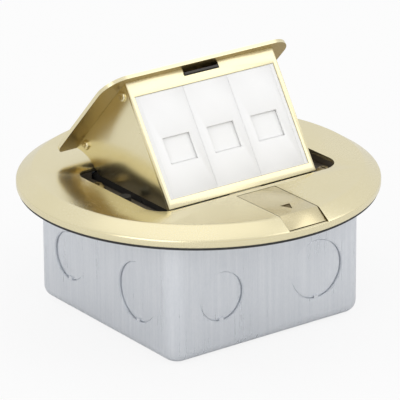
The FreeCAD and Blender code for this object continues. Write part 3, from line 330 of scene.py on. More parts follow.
@dataclass(frozen=True)
class Zinc:
    """Galvanised sheet steel: a cool grey with faint vertical rolling streaks."""

    name: str = "galvanised_sheet"
    light: Triple = (0.80, 0.82, 0.85)
    dark: Triple = (0.66, 0.69, 0.73)
    metallic: float = 0.55
    roughness: float = 0.30
    streak_scales: Triple = (0.55, 0.55, 0.018)
    cloud_scales: Triple = (0.045, 0.045, 0.03)
    grain_scales: Triple = (1.4, 1.4, 0.5)
    tone_shares: Triple = (0.5, 0.3, 0.2)
    tone_range: Point = (0.34, 0.68)
    streak_spread: float = 0.16
    cloud_spread: float = 0.10
    relief_shares: Point = (0.7, 0.3)
    relief: float = 0.05
    relief_depth: float = 0.08

    def build(self) -> Material:
        """Make the material.

        Returns:
            The material.
        """
        shader = Shader(bpy.data.materials.new(self.name))
        streaks = shader.noise(self.streak_scales, 5.0, 0.62)
        clouds = shader.noise(self.cloud_scales, 3.0, 0.55)
        grain = shader.noise(self.grain_scales, 2.0, 0.5)
        streak_share, cloud_share, grain_share = self.tone_shares
        tone = streaks * streak_share + clouds * cloud_share + grain * grain_share
        height = clouds * self.relief_shares[0] + grain * self.relief_shares[1]
        return shader.finish(
            Base_Color=shader.mix(shader.ramp(tone, *self.tone_range), self.dark, self.light),
            Metallic=self.metallic,
            Roughness=self.roughness + streaks.sway(self.streak_spread) + clouds.sway(self.cloud_spread),
            Normal=shader.bump(height, self.relief, self.relief_depth),
        )


@dataclass(frozen=True)
class Moulding:
    """Moulded plastic: fine texture and slight tone change."""

    name: str
    colour: Triple
    shade: Triple
    roughness: float = 0.4
    relief: float = 0.04
    specks: float = 0.0
    relief_depth: float = 0.03
    texture_scale: float = 3.0
    cloud_scale: float = 0.05
    cloud_spread: float = 0.1
    tone_range: Point = (0.3, 0.7)
    dust: Triple = (0.55, 0.52, 0.45)
    dust_scale: float = 0.9
    dust_range: Point = (0.72, 0.76)

    def build(self) -> Material:
        """Make the material.

        Returns:
            The material.
        """
        shader = Shader(bpy.data.materials.new(self.name))
        texture = shader.even_noise(self.texture_scale, 2.0, 0.5)
        clouds = shader.even_noise(self.cloud_scale, 2.0, 0.5)
        colour = shader.mix(shader.ramp(clouds, *self.tone_range), self.shade, self.colour)
        if self.specks:
            dust = shader.ramp(shader.even_noise(self.dust_scale, 1.0, 0.4), *self.dust_range)
            colour = shader.mix(dust * self.specks, colour, self.dust)
        return shader.finish(
            Base_Color=colour,
            Roughness=self.roughness + clouds.sway(self.cloud_spread),
            Normal=shader.bump(texture, self.relief, self.relief_depth),
        )


@dataclass(frozen=True)
class Steel:
    """Plated, blackened or spring steel."""

    name: str
    colour: Triple
    roughness: float = 0.3
    metallic: float = 1.0
    darkening: float = 0.8
    grain_scale: float = 1.2
    grain_spread: float = 0.16
    cloud_scale: float = 0.15
    tone_range: Point = (0.3, 0.7)
    relief: float = 0.05
    relief_depth: float = 0.04

    def build(self) -> Material:
        """Make the material.

        Returns:
            The material.
        """
        shader = Shader(bpy.data.materials.new(self.name))
        grain = shader.even_noise(self.grain_scale, 4.0, 0.6)
        clouds = shader.even_noise(self.cloud_scale, 2.0, 0.5)
        shade = tuple(channel * self.darkening for channel in self.colour)
        return shader.finish(
            Base_Color=shader.mix(shader.ramp(clouds, *self.tone_range), shade, self.colour),
            Metallic=self.metallic,
            Roughness=self.roughness + grain.sway(self.grain_spread),
            Normal=shader.bump(grain, self.relief, self.relief_depth),
        )


@dataclass(frozen=True)
class Backdrop:
    """A pale surface that the camera sees nearly white and that keeps a soft shadow."""

    name: str = "pale_floor"
    paint: Triple = (0.80, 0.80, 0.80)
    roughness: float = 0.9
    glow: float = 0.86
    cloud_scale: float = 0.02
    variation: float = 0.02

    def build(self) -> Material:
        """Make the material.

        Returns:
            The material.
        """
        shader = Shader(bpy.data.materials.new(self.name))
        grain = shader.even_noise(self.cloud_scale, 2.0, 0.5)
        brighter = tuple(channel + self.variation for channel in self.paint)
        paint = shader.node(
            "ShaderNodeBsdfPrincipled", None,
            {"Base Color": shader.mix(grain, self.paint, brighter), "Roughness": self.roughness},
        )
        light = shader.node("ShaderNodeEmission", None, {"Color": (1.0, 1.0, 1.0), "Strength": 1.0})
        ray = shader.node("ShaderNodeLightPath")
        seen = Value(shader, ray.outputs["Is Camera Ray"])
        return shader.close(shader.node(
            "ShaderNodeMixShader", None, {0: seen * self.glow, 1: paint.outputs[0], 2: light.outputs[0]},
        ))


# ---- modelling helpers

def mode(name: str) -> None:
    """Enter or leave edit mode."""
    bpy.ops.object.mode_set(mode=name)


def deselect() -> None:
    """Leave edit mode and select nothing."""
    if bpy.context.mode != "OBJECT":
        mode("OBJECT")
    bpy.ops.object.select_all(action="DESELECT")


def rounded(low: Point, high: Point, low_radius: float, high_radius: float, steps: int = 10) -> list[Point]:
    """Points of a rectangle with rounded corners, going round to the left.

    Args:
        low: the lowest corner.
        high: the highest corner.
        low_radius: the radius of the two corners with the lower second coordinate.
        high_radius: the radius of the other two.
        steps: how many faces each corner gets.

    Returns:
        The outline.
    """
    corners = (
        (high[0], low[1], -90, low_radius, -1, 1), (high[0], high[1], 0, high_radius, -1, -1),
        (low[0], high[1], 90, high_radius, 1, -1), (low[0], low[1], 180, low_radius, 1, 1),
    )
    outline = []
    for x, y, start, radius, inward_x, inward_y in corners:
        centre = (x + inward_x * radius, y + inward_y * radius)
        for step in range(steps + 1):
            angle = math.radians(start + 90 * step / steps)
            outline.append((centre[0] + radius * math.cos(angle), centre[1] + radius * math.sin(angle)))
    return outline


def rectangle(low: Point, high: Point) -> list[Point]:
    """The four corners of a plain rectangle."""
    return [low, (high[0], low[1]), high, (low[0], high[1])]


def centred(half: float, low: float, high: float) -> list[Point]:
    """A rectangle that reaches equally far to both sides of the middle."""
    return rectangle((-half, low), (half, high))


def on_face(down: float, inward: float) -> Vector:
    """A point of the lid-shut carriage that far down the module face and that far behind it."""
    angle = math.radians(FACE_ANGLE)
    return FACE_LINE + Vector((
        0.0,
        down * math.cos(angle) + inward * math.sin(angle),
        inward * math.cos(angle) - down * math.sin(angle),
    ))


SWING = Matrix.Rotation(math.radians(-OPEN_ANGLE), 4, "X")
OPENED = Matrix.Translation(PIVOT) @ SWING @ Matrix.Translation(-PIVOT)
ON_FACE = OPENED @ Matrix.Translation(FACE_LINE) @ Matrix.Rotation(math.radians(180 - FACE_ANGLE), 4, "X")


class Plane(Enum):
    """Which plane an outline is drawn on, as the matrix that carries XY onto it."""

    XY = Matrix(((1, 0, 0, 0), (0, 1, 0, 0), (0, 0, 1, 0), (0, 0, 0, 1)))
    YZ = Matrix(((0, 0, 1, 0), (1, 0, 0, 0), (0, 1, 0, 0), (0, 0, 0, 1)))
    XZ = Matrix(((1, 0, 0, 0), (0, 0, -1, 0), (0, 1, 0, 0), (0, 0, 0, 1)))


class Piece:
    """One mesh object, worked on in millimetres with z = 0 on the flange's flat top."""

    def __init__(self, obj: bpy.types.Object, name: str) -> None:
        """Take the object that an operator has just made."""
        self.obj = obj
        obj.name = name
        obj.data.name = name

    def select(self) -> None:
        """Leave edit mode and make this the only selected piece."""
        deselect()
        self.obj.select_set(True)
        bpy.context.view_layer.objects.active = self.obj

    @classmethod
    def prism(
        cls, name: str, outline: Sequence[Point], low: float, high: float, plane: Plane = Plane.XY,
    ) -> "Piece":
        """Extrude a flat outline.

        Args:
            name: the piece's name.
            outline: its corners, going round to the left.
            low: where the extrusion starts, along the plane's normal.
            high: where it ends.
            plane: the plane of the outline.

        Returns:
            The solid piece.
        """
        deselect()
        bpy.ops.mesh.primitive_circle_add(vertices=len(outline), radius=1.0, fill_type="NGON")
        piece = cls(bpy.context.object, name)
        for vertex, (x, y) in zip(piece.obj.data.vertices, outline):
            vertex.co = (x, y, low)
        mode("EDIT")
        bpy.ops.mesh.select_all(action="SELECT")
        bpy.ops.mesh.extrude_region_move(TRANSFORM_OT_translate={"value": (0.0, 0.0, high - low)})
        return piece.face_outwards().move(plane.value)

    @classmethod
    def disc(cls, name: str, radius: float, low: float, high: float, sides: int = 48) -> "Piece":
        """A round bar along Z.

        Args:
            name: the piece's name.
            radius: the bar's radius.
            low: its lower end.
            high: its upper end.
            sides: how many sides stand for its round.

        Returns:
            The solid piece.
        """
        deselect()
        bpy.ops.mesh.primitive_cylinder_add(
            vertices=sides, radius=radius, depth=high - low, location=(0.0, 0.0, (low + high) / 2),
        )
        piece = cls(bpy.context.object, name)
        bpy.ops.object.transform_apply()
        return piece

    def copy(self, name: str) -> "Piece":
        """A second piece with its own mesh.

        Args:
            name: the second piece's name.

        Returns:
            The second piece.
        """
        twin = self.obj.copy()
        twin.data = self.obj.data.copy()
        bpy.context.scene.collection.objects.link(twin)
        return Piece(twin, name)

    def move(self, matrix: Matrix) -> "Piece":
        """Apply a matrix to the mesh, which keeps the object at the origin.

        Args:
            matrix: where the mesh goes.

        Returns:
            The piece itself.
        """
        self.select()
        self.obj.matrix_world = matrix
        bpy.ops.object.transform_apply()
        return self

    def at(self, x: float, y: float, z: float) -> "Piece":
        """Shift the mesh."""
        return self.move(Matrix.Translation((x, y, z)))

    def face_outwards(self) -> "Piece":
        """Turn every face outwards.

        Returns:
            The piece itself.
        """
        self.select()
        mode("EDIT")
        bpy.ops.mesh.select_all(action="SELECT")
        bpy.ops.mesh.normals_make_consistent(inside=False)
        mode("OBJECT")
        return self

    def _modify(self, kind: str, **settings: object) -> "Piece":
        """Add one modifier and apply it.

        Args:
            kind: the modifier's type.
            settings: its attributes.

        Returns:
            The piece itself.
        """
        self.select()
        modifier = self.obj.modifiers.new(kind.title(), kind)
        for key, value in settings.items():
            setattr(modifier, key, value)
        bpy.ops.object.modifier_apply(modifier=modifier.name)
        return self

    def _combine(self, operation: str, others: Sequence["Piece"]) -> "Piece":
        """Apply a Boolean with each of the others, which are used up.

        Args:
            operation: the Boolean's operation.
            others: the other pieces.

        Returns:
            The piece itself.
        """
        for other in others:
            self._modify("BOOLEAN", operation=operation, object=other.obj, solver="EXACT")
            bpy.data.objects.remove(other.obj)
        return self

    def cut(self, *tools: "Piece") -> "Piece":
        """Take the tools' shapes away."""
        return self._combine("DIFFERENCE", tools)

    def join(self, *others: "Piece") -> "Piece":
        """Make one solid of this piece and the others."""
        return self._combine("UNION", others)

    def soften(self, width: float, segments: int = 2, angle: float = 30.0) -> "Piece":
        """Round every edge sharper than an angle."""
        return self._modify(
            "BEVEL", width=width, segments=segments, limit_method="ANGLE", angle_limit=math.radians(angle),
        )

    def pick(self, kind: str, elements: str, chosen: Callable[[bpy.types.bpy_struct], bool]) -> None:
        """Enter edit mode with only the faces or edges that pass a test selected.

        Args:
            kind: the selection mode, FACE or EDGE.
            elements: the mesh's list of them.
            chosen: takes a face or an edge and says whether to pick it.
        """
        self.select()
        mode("EDIT")
        bpy.ops.mesh.select_mode(type=kind)
        bpy.ops.mesh.select_all(action="DESELECT")
        mode("OBJECT")
        for element in getattr(self.obj.data, elements):
            element.select = chosen(element)
        mode("EDIT")

    def soften_where(self, chosen: Callable[[Vector, Vector], bool], width: float, segments: int) -> "Piece":
        """Round the edges whose two ends pass a test.

        Args:
            chosen: takes an edge's two ends and says whether to round it.
            width: the bevel's width.
            segments: how many faces the rounding gets.

        Returns:
            The piece itself.
        """
        vertices = self.obj.data.vertices
        self.pick("EDGE", "edges", lambda edge: chosen(*(vertices[index].co for index in edge.vertices)))
        bpy.ops.mesh.bevel(offset=width, segments=segments, profile=0.5, affect="EDGES")
        bpy.ops.mesh.select_mode(type="VERT")
        mode("OBJECT")
        return self

    def paint_shade(self, material: Material, chosen: Callable[[Vector, Vector], bool]) -> None:
        """Give some faces of a finished piece a second, darker finish that paints shade on them.

        Args:
            material: the second finish, the painted shade.
            chosen: takes a face's centre and normal, in millimetres from the flange's top.
        """
        self.obj.data.materials.append(material)
        for face in self.obj.data.polygons:
            centre = face.center / MM - Vector((0.0, 0.0, OVERALL_HEIGHT))
            face.material_index = int(chosen(centre, face.normal))

    def done(self, material: Material, body: str, slot: str, *nodes: str) -> None:
        """Put the piece into the row frame, dress it and hand it to its body.

        Args:
            material: its finish.
            body: the CAD body that it rides on.
            slot: the record's material slot; not used.
            nodes: the CAD nodes that it stands for.
        """
        self.move(Matrix.Scale(MM, 4) @ Matrix.Translation((0.0, 0.0, OVERALL_HEIGHT)))
        self.select()
        bpy.ops.object.shade_smooth_by_angle(angle=math.radians(SMOOTH_ANGLE))
        self.obj.data.materials.clear()
        self.obj.data.materials.append(material)
        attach(self.obj, body)
        if nodes:
            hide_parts(*nodes)
        deselect()
        LOG.info("%s on %s: %d faces", self.obj.name, body, len(self.obj.data.polygons))


# ---- sub-assemblies

@dataclass
class Flange:
    """The round brass flange with the lid's opening and the button's channel."""

    radius: float = 76.5
    flat_radius: float = 69.6
    bevel_drop: float = 4.5
    rim_height: float = 7.6
    rim_inner: float = 70.0
    skin: float = 1.6
    opening_half: float = 48.1
    opening_front: float = -37.1
    opening_rear: float = 22.4
    front_corner: float = 9.6
    rear_corner: float = 6.6
    channel_half: float = 9.9
    channel_rear: float = -39.7
    channel_depth: float = 4.6
    boss_radius: float = 3.5
    boss_height: float = 3.4
    boss_places: tuple[Point, ...] = (
        (44.0, 33.0), (-44.0, 33.0), (33.0, -45.0), (-33.0, -45.0), (19.0, 52.0), (-19.0, 52.0),
    )
    boss_overlap: float = 0.5
    sides: int = 240
    top_round: float = 0.7
    edge_round: float = 0.18
    finish: Brass = Brass("brass_flange", Grain.EVEN, relief=0.008)

    def mesh(self) -> Piece:
        """Build the flange from a round bar whose top is drawn in.

        Returns:
            The flange.
        """
        body = Piece.disc("flange_ring", self.radius, -self.rim_height, -self.bevel_drop, self.sides)
        body.pick("FACE", "polygons", lambda face: face.normal.z > 0.9)
        bpy.ops.mesh.extrude_region_move(TRANSFORM_OT_translate={"value": (0.0, 0.0, self.bevel_drop)})
        ratio = self.flat_radius / self.radius
        bpy.ops.transform.resize(value=(ratio, ratio, 1.0), center_override=(0.0, 0.0, 0.0))
        bpy.ops.mesh.select_mode(type="VERT")
        mode("OBJECT")
        body.soften(self.top_round, segments=4, angle=20.0)
        hollow_low = -self.rim_height - CUT_PAST
        body.cut(Piece.disc("rim_hollow", self.rim_inner, hollow_low, -self.skin, self.sides))
        boss_low, boss_high = -self.skin - self.boss_height, -self.skin + self.boss_overlap
        for x, y in self.boss_places:
            body.join(Piece.disc("boss", self.boss_radius, boss_low, boss_high, 32).at(x, y, 0))
        opening = rounded(
            (-self.opening_half, self.opening_front), (self.opening_half, self.opening_rear),
            self.front_corner, self.rear_corner,
        )
        channel = centred(self.channel_half, -self.radius - 5.0, self.channel_rear)
        body.cut(
            Piece.prism("opening", opening, -self.skin - 0.4, CUT_PAST),
            Piece.prism("channel", channel, -self.channel_depth, CUT_PAST),
        )
        return body.soften(self.edge_round, angle=50.0)

    def dress(self) -> None:
        """Build the flange and give it its brass."""
        flange = self.mesh()
        flange.done(self.finish.build(), "base", "brass", "flange")
        # The channel's floor and walls get the dark brass as painted shade.
        flange.paint_shade(
            SHADE_BRASS.build(),
            lambda centre, normal: abs(centre.x) < self.channel_half + 0.1
            and -self.flat_radius < centre.y < self.channel_rear + 0.1 and centre.z < -0.1,
        )


@dataclass
class PopUpLid:
    """The lid plate with its rear edge turned to clear the flange, and the tabs that carry it."""

    half_width: float = 47.8
    front: float = -36.8
    thickness: float = 1.6
    sweep: float = 20.79
    front_corner: float = 10.4
    rear_corner: float = 7.0
    tab_outer: float = 34.95
    tab_height: float = 5.2
    tab_length: float = 6.0
    tab_overlap: float = 0.3
    edge_round: float = 0.4
    finish: Brass = Brass("brass_lid", Grain.EVEN, relief=0.008)
    # A darker copy of the lid's brass for the underside, as painted shade.
    shaded_underside_finish: Brass = Brass(
        "brass_lid_underside_painted_shade", Grain.EVEN, (0.46, 0.36, 0.17), (0.36, 0.27, 0.11), 0.38, relief=0.008,
    )

    def rear_at(self, height: float) -> float:
        """Where the rear edge lies at a height, on an arc about the hinge."""
        return PIVOT.y - math.sqrt(self.sweep ** 2 - (height - PIVOT.z) ** 2)

    def mesh(self) -> Piece:
        """Build the lid shut, and open it.

        Returns:
            The lid.
        """
        top, low = self.rear_at(0.0), self.rear_at(-self.thickness)
        outline = rounded(
            (-self.half_width, self.front), (self.half_width, top), self.front_corner, self.rear_corner, 16,
        )
        lid = Piece.prism("lid_plate", outline, -self.thickness, 0.0)
        below = -self.thickness - CUT_PAST
        slope = [
            (top, 0.0), (low, -self.thickness), (low, below), (top + 5, below), (top + 5, 0.5), (top, 0.5),
        ]
        lid.cut(Piece.prism("rear_slope", slope, -60.0, 60.0, Plane.YZ))
        lid.soften(self.edge_round, segments=4, angle=40.0)
        for place in SCREW_PLACES:
            start = place - self.tab_length * 0.4
            outline = rectangle(
                (start, -self.thickness - self.tab_height),
                (start + self.tab_length, -self.thickness + self.tab_overlap),
            )
            for side in (1, -1):
                near, far = sorted((side * self.tab_outer, side * (self.tab_outer - self.thickness)))
                lid.join(Piece.prism("tab", outline, near, far, Plane.YZ))
        return lid.move(OPENED)

    def dress(self) -> None:
        """Build the lid and give it its brass, with darker brass on the underside as painted shade."""
        lid = self.mesh()
        lid.done(self.finish.build(), "carriage", "brass", "lid")
        down = OPENED.to_3x3() @ Vector((0.0, 0.0, -1.0))
        # Faces that point down get the darker brass as painted shade.
        lid.paint_shade(self.shaded_underside_finish.build(), lambda centre, normal: normal.dot(down) > 0.98)


@dataclass
class Shroud:
    """The brass frame round the modules, with a cheek on each side."""

    half_width: float = 37.75
    sheet: float = 1.2
    face_length: float = 55.3
    window_half: float = 35.6
    window_top: float = 6.7
    window_height: float = 44.8
    notch_half: float = 8.9
    notch_depth: float = 3.1
    cheek_reach: float = 53.3
    corner: Point = (15.8, -16.6)
    relief: float = 21.19
    face_round: float = 0.16
    cheek_round: float = 0.12
    face_finish: Brass = Brass(
        "brass_face", Grain.ALONG_Z, relief=0.05, turn=(-56.6, 0.0, 0.0),
    )
    cheek_finish: Brass = Brass(
        "brass_cheek", Grain.ALONG_Y, relief=0.05, turn=(47.0, 0.0, 0.0),
    )

    def face(self) -> Piece:
        """The flat frame with its window and the notch for the latch.

        Returns:
            The frame, on the open carriage.
        """
        outline = centred(self.half_width, -self.face_length, 0.0)
        plate = Piece.prism("shroud_face", outline, -self.sheet, 0.0)
        bottom = -self.window_top - self.window_height
        window = centred(self.window_half, bottom, -self.window_top)
        notch = centred(self.notch_half, -self.notch_depth, CUT_PAST)
        plate.cut(Piece.prism("window", window, -3.0, 3.0), Piece.prism("notch", notch, -3.0, 3.0))
        return plate.soften(self.face_round).move(ON_FACE)

    def cheek(self) -> Piece:
        """One side plate, cut back behind to clear the flange as it swings.

        Returns:
            The right cheek, on the open carriage.
        """
        start = on_face(0.05, self.sheet)
        foot = on_face(self.face_length, self.sheet)
        outline = [
            (foot.y, foot.z), self.corner,
            (FACE_LINE.y + self.cheek_reach, FACE_LINE.z), (start.y, FACE_LINE.z),
        ]
        plate = Piece.prism("cheek", outline, self.half_width - self.sheet, self.half_width, Plane.YZ)
        turns = [math.radians(angle) for angle in range(90, 275, 3)]
        scoop = [
            (PIVOT.y + self.relief * math.cos(turn), PIVOT.z + self.relief * math.sin(turn)) for turn in turns
        ]
        plate.cut(Piece.prism("scoop", scoop, 30.0, 45.0, Plane.YZ))
        return plate.soften(self.cheek_round).move(OPENED)

    def dress(self) -> None:
        """Build the frame and both cheeks, and give them their brass."""
        self.face().done(self.face_finish.build(), "carriage", "brass", "shroud")
        brass = self.cheek_finish.build()
        right = self.cheek()
        left = right.copy("cheek_left").move(Matrix.Scale(-1.0, 4, (1, 0, 0))).face_outwards()
        right.obj.name = "cheek_right"
        right.done(brass, "carriage", "brass")
        left.done(brass, "carriage", "brass")


@dataclass
class ReleaseButton:
    """The sliding button whose front follows the flange's slope."""

    half_width: float = 9.6
    rear: float = -40.0
    brow: float = -68.4
    toe: float = -74.6
    toe_depth: float = 4.3
    heel: float = -64.0
    sheet: float = 1.9
    arrow_half: float = 2.45
    arrow_base: float = -59.2
    arrow_tip: float = -64.4
    arrow_depth: float = 0.3
    edge_round: float = 0.16
    # A darker brass than the flange's, which paints the darker reflection that the button's sloped front
    # shows.
    finish: Brass = Brass(
        "brass_button_painted_dark_reflection", Grain.EVEN, (0.72, 0.64, 0.41), (0.66, 0.58, 0.36), relief=0.008,
    )

    def mesh(self) -> Piece:
        """Build the button with its engraved arrow.

        Returns:
            The button.
        """
        outline = [
            (self.rear, 0.0), (self.rear, -self.sheet), (self.heel, -self.sheet),
            (self.heel, -self.toe_depth), (self.toe, -self.toe_depth), (self.brow, 0.0),
        ]
        button = Piece.prism("release_button", outline, -self.half_width, self.half_width, Plane.YZ)
        button.soften(self.edge_round)
        arrow = [
            (-self.arrow_half, self.arrow_base), (0.0, self.arrow_tip), (self.arrow_half, self.arrow_base),
        ]
        return button.cut(Piece.prism("arrow", arrow, -self.arrow_depth, CUT_PAST))

    def dress(self) -> None:
        """Build the button and give it its brass."""
        button = self.mesh()
        button.done(self.finish.build(), "release", "brass", "release_button")
        # The button's sides, the floor and walls of its engraved arrow and its underside get the dark brass
        # as painted shade.
        button.paint_shade(
            SHADE_BRASS.build(),
            lambda centre, normal: abs(normal.x) > 0.9 or (
                abs(centre.x) < self.arrow_half
                and self.arrow_tip < centre.y < self.arrow_base and centre.z < -0.05
            ) or (centre.z < -0.1 and centre.y > self.brow),
        )


@dataclass
class BackBox:
    """The square galvanised box with two knockouts in each wall."""

    half_width: float = 49.25
    wall: float = 1.5
    corner: float = 7.0
    edge: float = 5.2
    top: float = -7.7
    bottom: float = -63.0
    knockout_height: float = 25.4
    knockout_depth: float = 0.8
    knockout_shift: float = 24.6
    large_radius: float = 13.0
    small_radius: float = 10.7
    slit_width: float = 0.45
    slit_depth: float = 0.5
    lip_width: float = 0.4
    lip_depth: float = 0.15
    bridge_half: float = 1.1
    bridge_rise: float = 1.3
    hole_radius: float = 2.5
    hole_place: float = 30.0
    stud_radius: float = 2.0
    stud_place: float = 38.0
    sides: int = 64
    hole_sides: int = 32
    rim_round: float = 0.12
    finish: Zinc = Zinc()

    def mesh(self) -> Piece:
        """Build the drawn box, press its knockouts and pierce its floor.

        Returns:
            The box.
        """
        half, inner = self.half_width, self.half_width - self.wall
        outline = rounded((-half, -half), (half, half), self.corner, self.corner, 12)
        box = Piece.prism("back_box_shell", outline, self.bottom, self.top)
        box.soften_where(
            lambda a, b: abs(a.z - self.bottom) < 0.01 and abs(b.z - self.bottom) < 0.01, self.edge, 8,
        )
        round_in = self.corner - self.wall
        hollow = rounded((-inner, -inner), (inner, inner), round_in, round_in, 10)
        box.cut(Piece.prism("hollow", hollow, self.bottom + self.wall, 0.0))
        centre = self.bottom + self.knockout_height
        lie = Matrix.Rotation(math.radians(90), 4, "X")
        sizes = ((self.large_radius, self.knockout_shift), (self.small_radius, -self.knockout_shift))
        for turn in range(4):
            spin = Matrix.Rotation(math.radians(90 * turn), 4, "Z")
            for radius, shift in sizes:
                place = spin @ Matrix.Translation((shift, 0.0, centre)) @ lie
                pressed_low, ring_low = inner - self.knockout_depth, half - self.knockout_depth
                pressed = Piece.disc("pressed", radius - 0.3, pressed_low, inner + 0.4, self.sides)
                box.join(pressed.move(place))
                ring = Piece.disc("recess", radius, ring_low, half + 2.0, self.sides)
                bridge = centred(self.bridge_half, -radius - CUT_PAST, -radius + self.bridge_rise)
                ring.cut(Piece.prism("bridge", bridge, half - 3.0, half + 4.0))
                slit_low, core = ring_low - self.slit_depth, radius - self.slit_width
                slit = Piece.disc("slit", radius, slit_low, half - 0.1, self.sides)
                slit.cut(
                    Piece.disc("slit_core", core, half - 4.0, half + CUT_PAST, self.sides),
                    Piece.prism("slit_bridge", bridge, half - 4.0, half + 4.0),
                )
                lip_radius, lip_low = radius + self.lip_width, half - self.lip_depth
                lip = Piece.disc("lip", lip_radius, lip_low, half + 2.0, self.sides)
                box.cut(ring.move(place), slit.move(place), lip.move(place))
        low, high = self.bottom - CUT_PAST, self.bottom + 2 * self.wall
        for x in (-self.hole_place, self.hole_place):
            for y in (-self.hole_place, self.hole_place):
                box.cut(Piece.disc("base_hole", self.hole_radius, low, high, self.hole_sides).at(x, y, 0))
        stud_hole = Piece.disc("stud_hole", self.stud_radius, low, high, self.hole_sides)
        box.cut(stud_hole.at(self.stud_place, self.stud_place, 0))
        return box.soften(self.rim_round, angle=50.0)

    def dress(self) -> None:
        """Build the box and give it its zinc."""
        self.mesh().done(self.finish.build(), "base", "galvanised", "back_box")


@dataclass
class DataModules:
    """Three white faceplates, each with a port and a sprung shutter behind it."""

    pitch: float = 22.5
    half: float = 11.2
    top: float = 6.8
    height: float = 44.6
    front: float = -0.4
    depth: float = 3.0
    skin: float = 0.8
    port_half: float = 6.8
    port_top: float = 26.0
    port_height: float = 11.5
    track_half: float = 8.0
    track_top: float = 9.4
    track_bottom: float = 38.8
    shutter_half: float = 7.7
    shutter_front: float = -1.44
    shutter_thickness: float = 1.1
    lap: float = 0.9
    rib_inset: float = 0.6
    rib_span: Point = (0.5, 1.2)
    rib_height: float = 0.3
    plate_round: float = 0.1
    shutter_round: float = 0.08
    plate_finish: Moulding = Moulding(
        "white_faceplate", (0.955, 0.955, 0.95), (0.94, 0.94, 0.935), 0.34, 0.02,
    )
    shutter_finish: Moulding = Moulding(
        "white_shutter", (0.94, 0.94, 0.93), (0.92, 0.92, 0.91), 0.38, 0.02,
    )

    def plate(self, name: str) -> Piece:
        """One faceplate, drawn flat in the middle of the module face.

        Args:
            name: the piece's name.

        Returns:
            The faceplate.
        """
        back = self.front - self.depth
        outline = centred(self.half, -self.top - self.height, -self.top)
        port = centred(self.port_half, -self.port_top - self.port_height, -self.port_top)
        track = centred(self.track_half, -self.track_bottom, -self.track_top)
        plate = Piece.prism(name, outline, back, self.front)
        plate.cut(
            Piece.prism("port", port, -6.0, 2.0),
            Piece.prism("track", track, back - CUT_PAST, self.front - self.skin),
        )
        return plate.soften(self.plate_round)

    def shutter(self, name: str) -> Piece:
        """One shutter with the thin rib that a plug's nose pushes.

        Args:
            name: the piece's name.

        Returns:
            The shutter.
        """
        bottom, front = -self.port_top - self.port_height, self.shutter_front
        outline = centred(self.shutter_half, bottom - self.lap, -self.port_top + self.lap)
        rib_low, rib_high = self.rib_span
        rib = centred(self.port_half - self.rib_inset, bottom + rib_low, bottom + rib_high)
        blade = Piece.prism(name, outline, front - self.shutter_thickness, front)
        blade.join(Piece.prism("rib", rib, front - self.rib_height, front + self.rib_height))
        return blade.soften(self.shutter_round)

    def dress(self) -> None:
        """Build all three modules and give them their plastic."""
        white, blade_white = self.plate_finish.build(), self.shutter_finish.build()
        for number, shift in ((1, -self.pitch), (2, 0.0), (3, self.pitch)):
            place = ON_FACE @ Matrix.Translation((shift, 0.0, 0.0))
            plate = self.plate(f"module_plate_{number}").move(place)
            plate.done(white, "carriage", "white_plastic", f"faceplate_{number}")
            shutter = self.shutter(f"module_shutter_{number}").move(place)
            shutter.done(blade_white, f"shutter_{number}", "white_plastic", f"shutter_{number}")


@dataclass
class LidScrews:
    """The four small cross-head screws that hold the lid, its tabs and the cheeks together."""

    head_radius: float = 2.15
    head_height: float = 0.8
    shank_radius: float = 1.25
    length: float = 4.4
    side: float = 37.75
    drop: float = -4.6
    crown: float = 0.45
    slot_half: Point = (0.28, 1.25)
    slot_depth: float = 0.55
    twist_step: float = 20.0
    finish: Brass = Brass(
        "brass_screw", Grain.EVEN, light=(0.80, 0.71, 0.48), roughness=0.25,
    )

    def mesh(self) -> Piece:
        """Build one screw along -Z with its head's underside at z = 0.

        Returns:
            The screw.
        """
        head = Piece.disc("lid_screw", self.head_radius, 0.0, self.head_height, 40)
        head.soften_where(
            lambda a, b: a.z > self.head_height - 0.01 and b.z > self.head_height - 0.01, self.crown, 4,
        )
        head.join(Piece.disc("shank", self.shank_radius, -self.length, 0.2, 24))
        slot_low = self.head_height - self.slot_depth
        for across, along in (self.slot_half, self.slot_half[::-1]):
            head.cut(Piece.prism("slot", centred(across, -along, along), slot_low, 2.0))
        return head

    def dress(self) -> None:
        """Place the four screws and give them their brass."""
        brass = self.finish.build()
        model = self.mesh()
        count = 0
        for place in SCREW_PLACES:
            for side in (-1, 1):
                count += 1
                twist = Matrix.Rotation(math.radians(self.twist_step * count), 4, "Z")
                lie = Matrix.Rotation(math.radians(90 * side), 4, "Y")
                stand = OPENED @ Matrix.Translation((side * self.side, place, self.drop)) @ lie @ twist
                screw = model.copy(f"lid_screw_{count}").move(stand)
                screw.done(brass, "carriage", "brass", *(["lid_screws"] if count == 1 else []))
        bpy.data.objects.remove(model.obj)


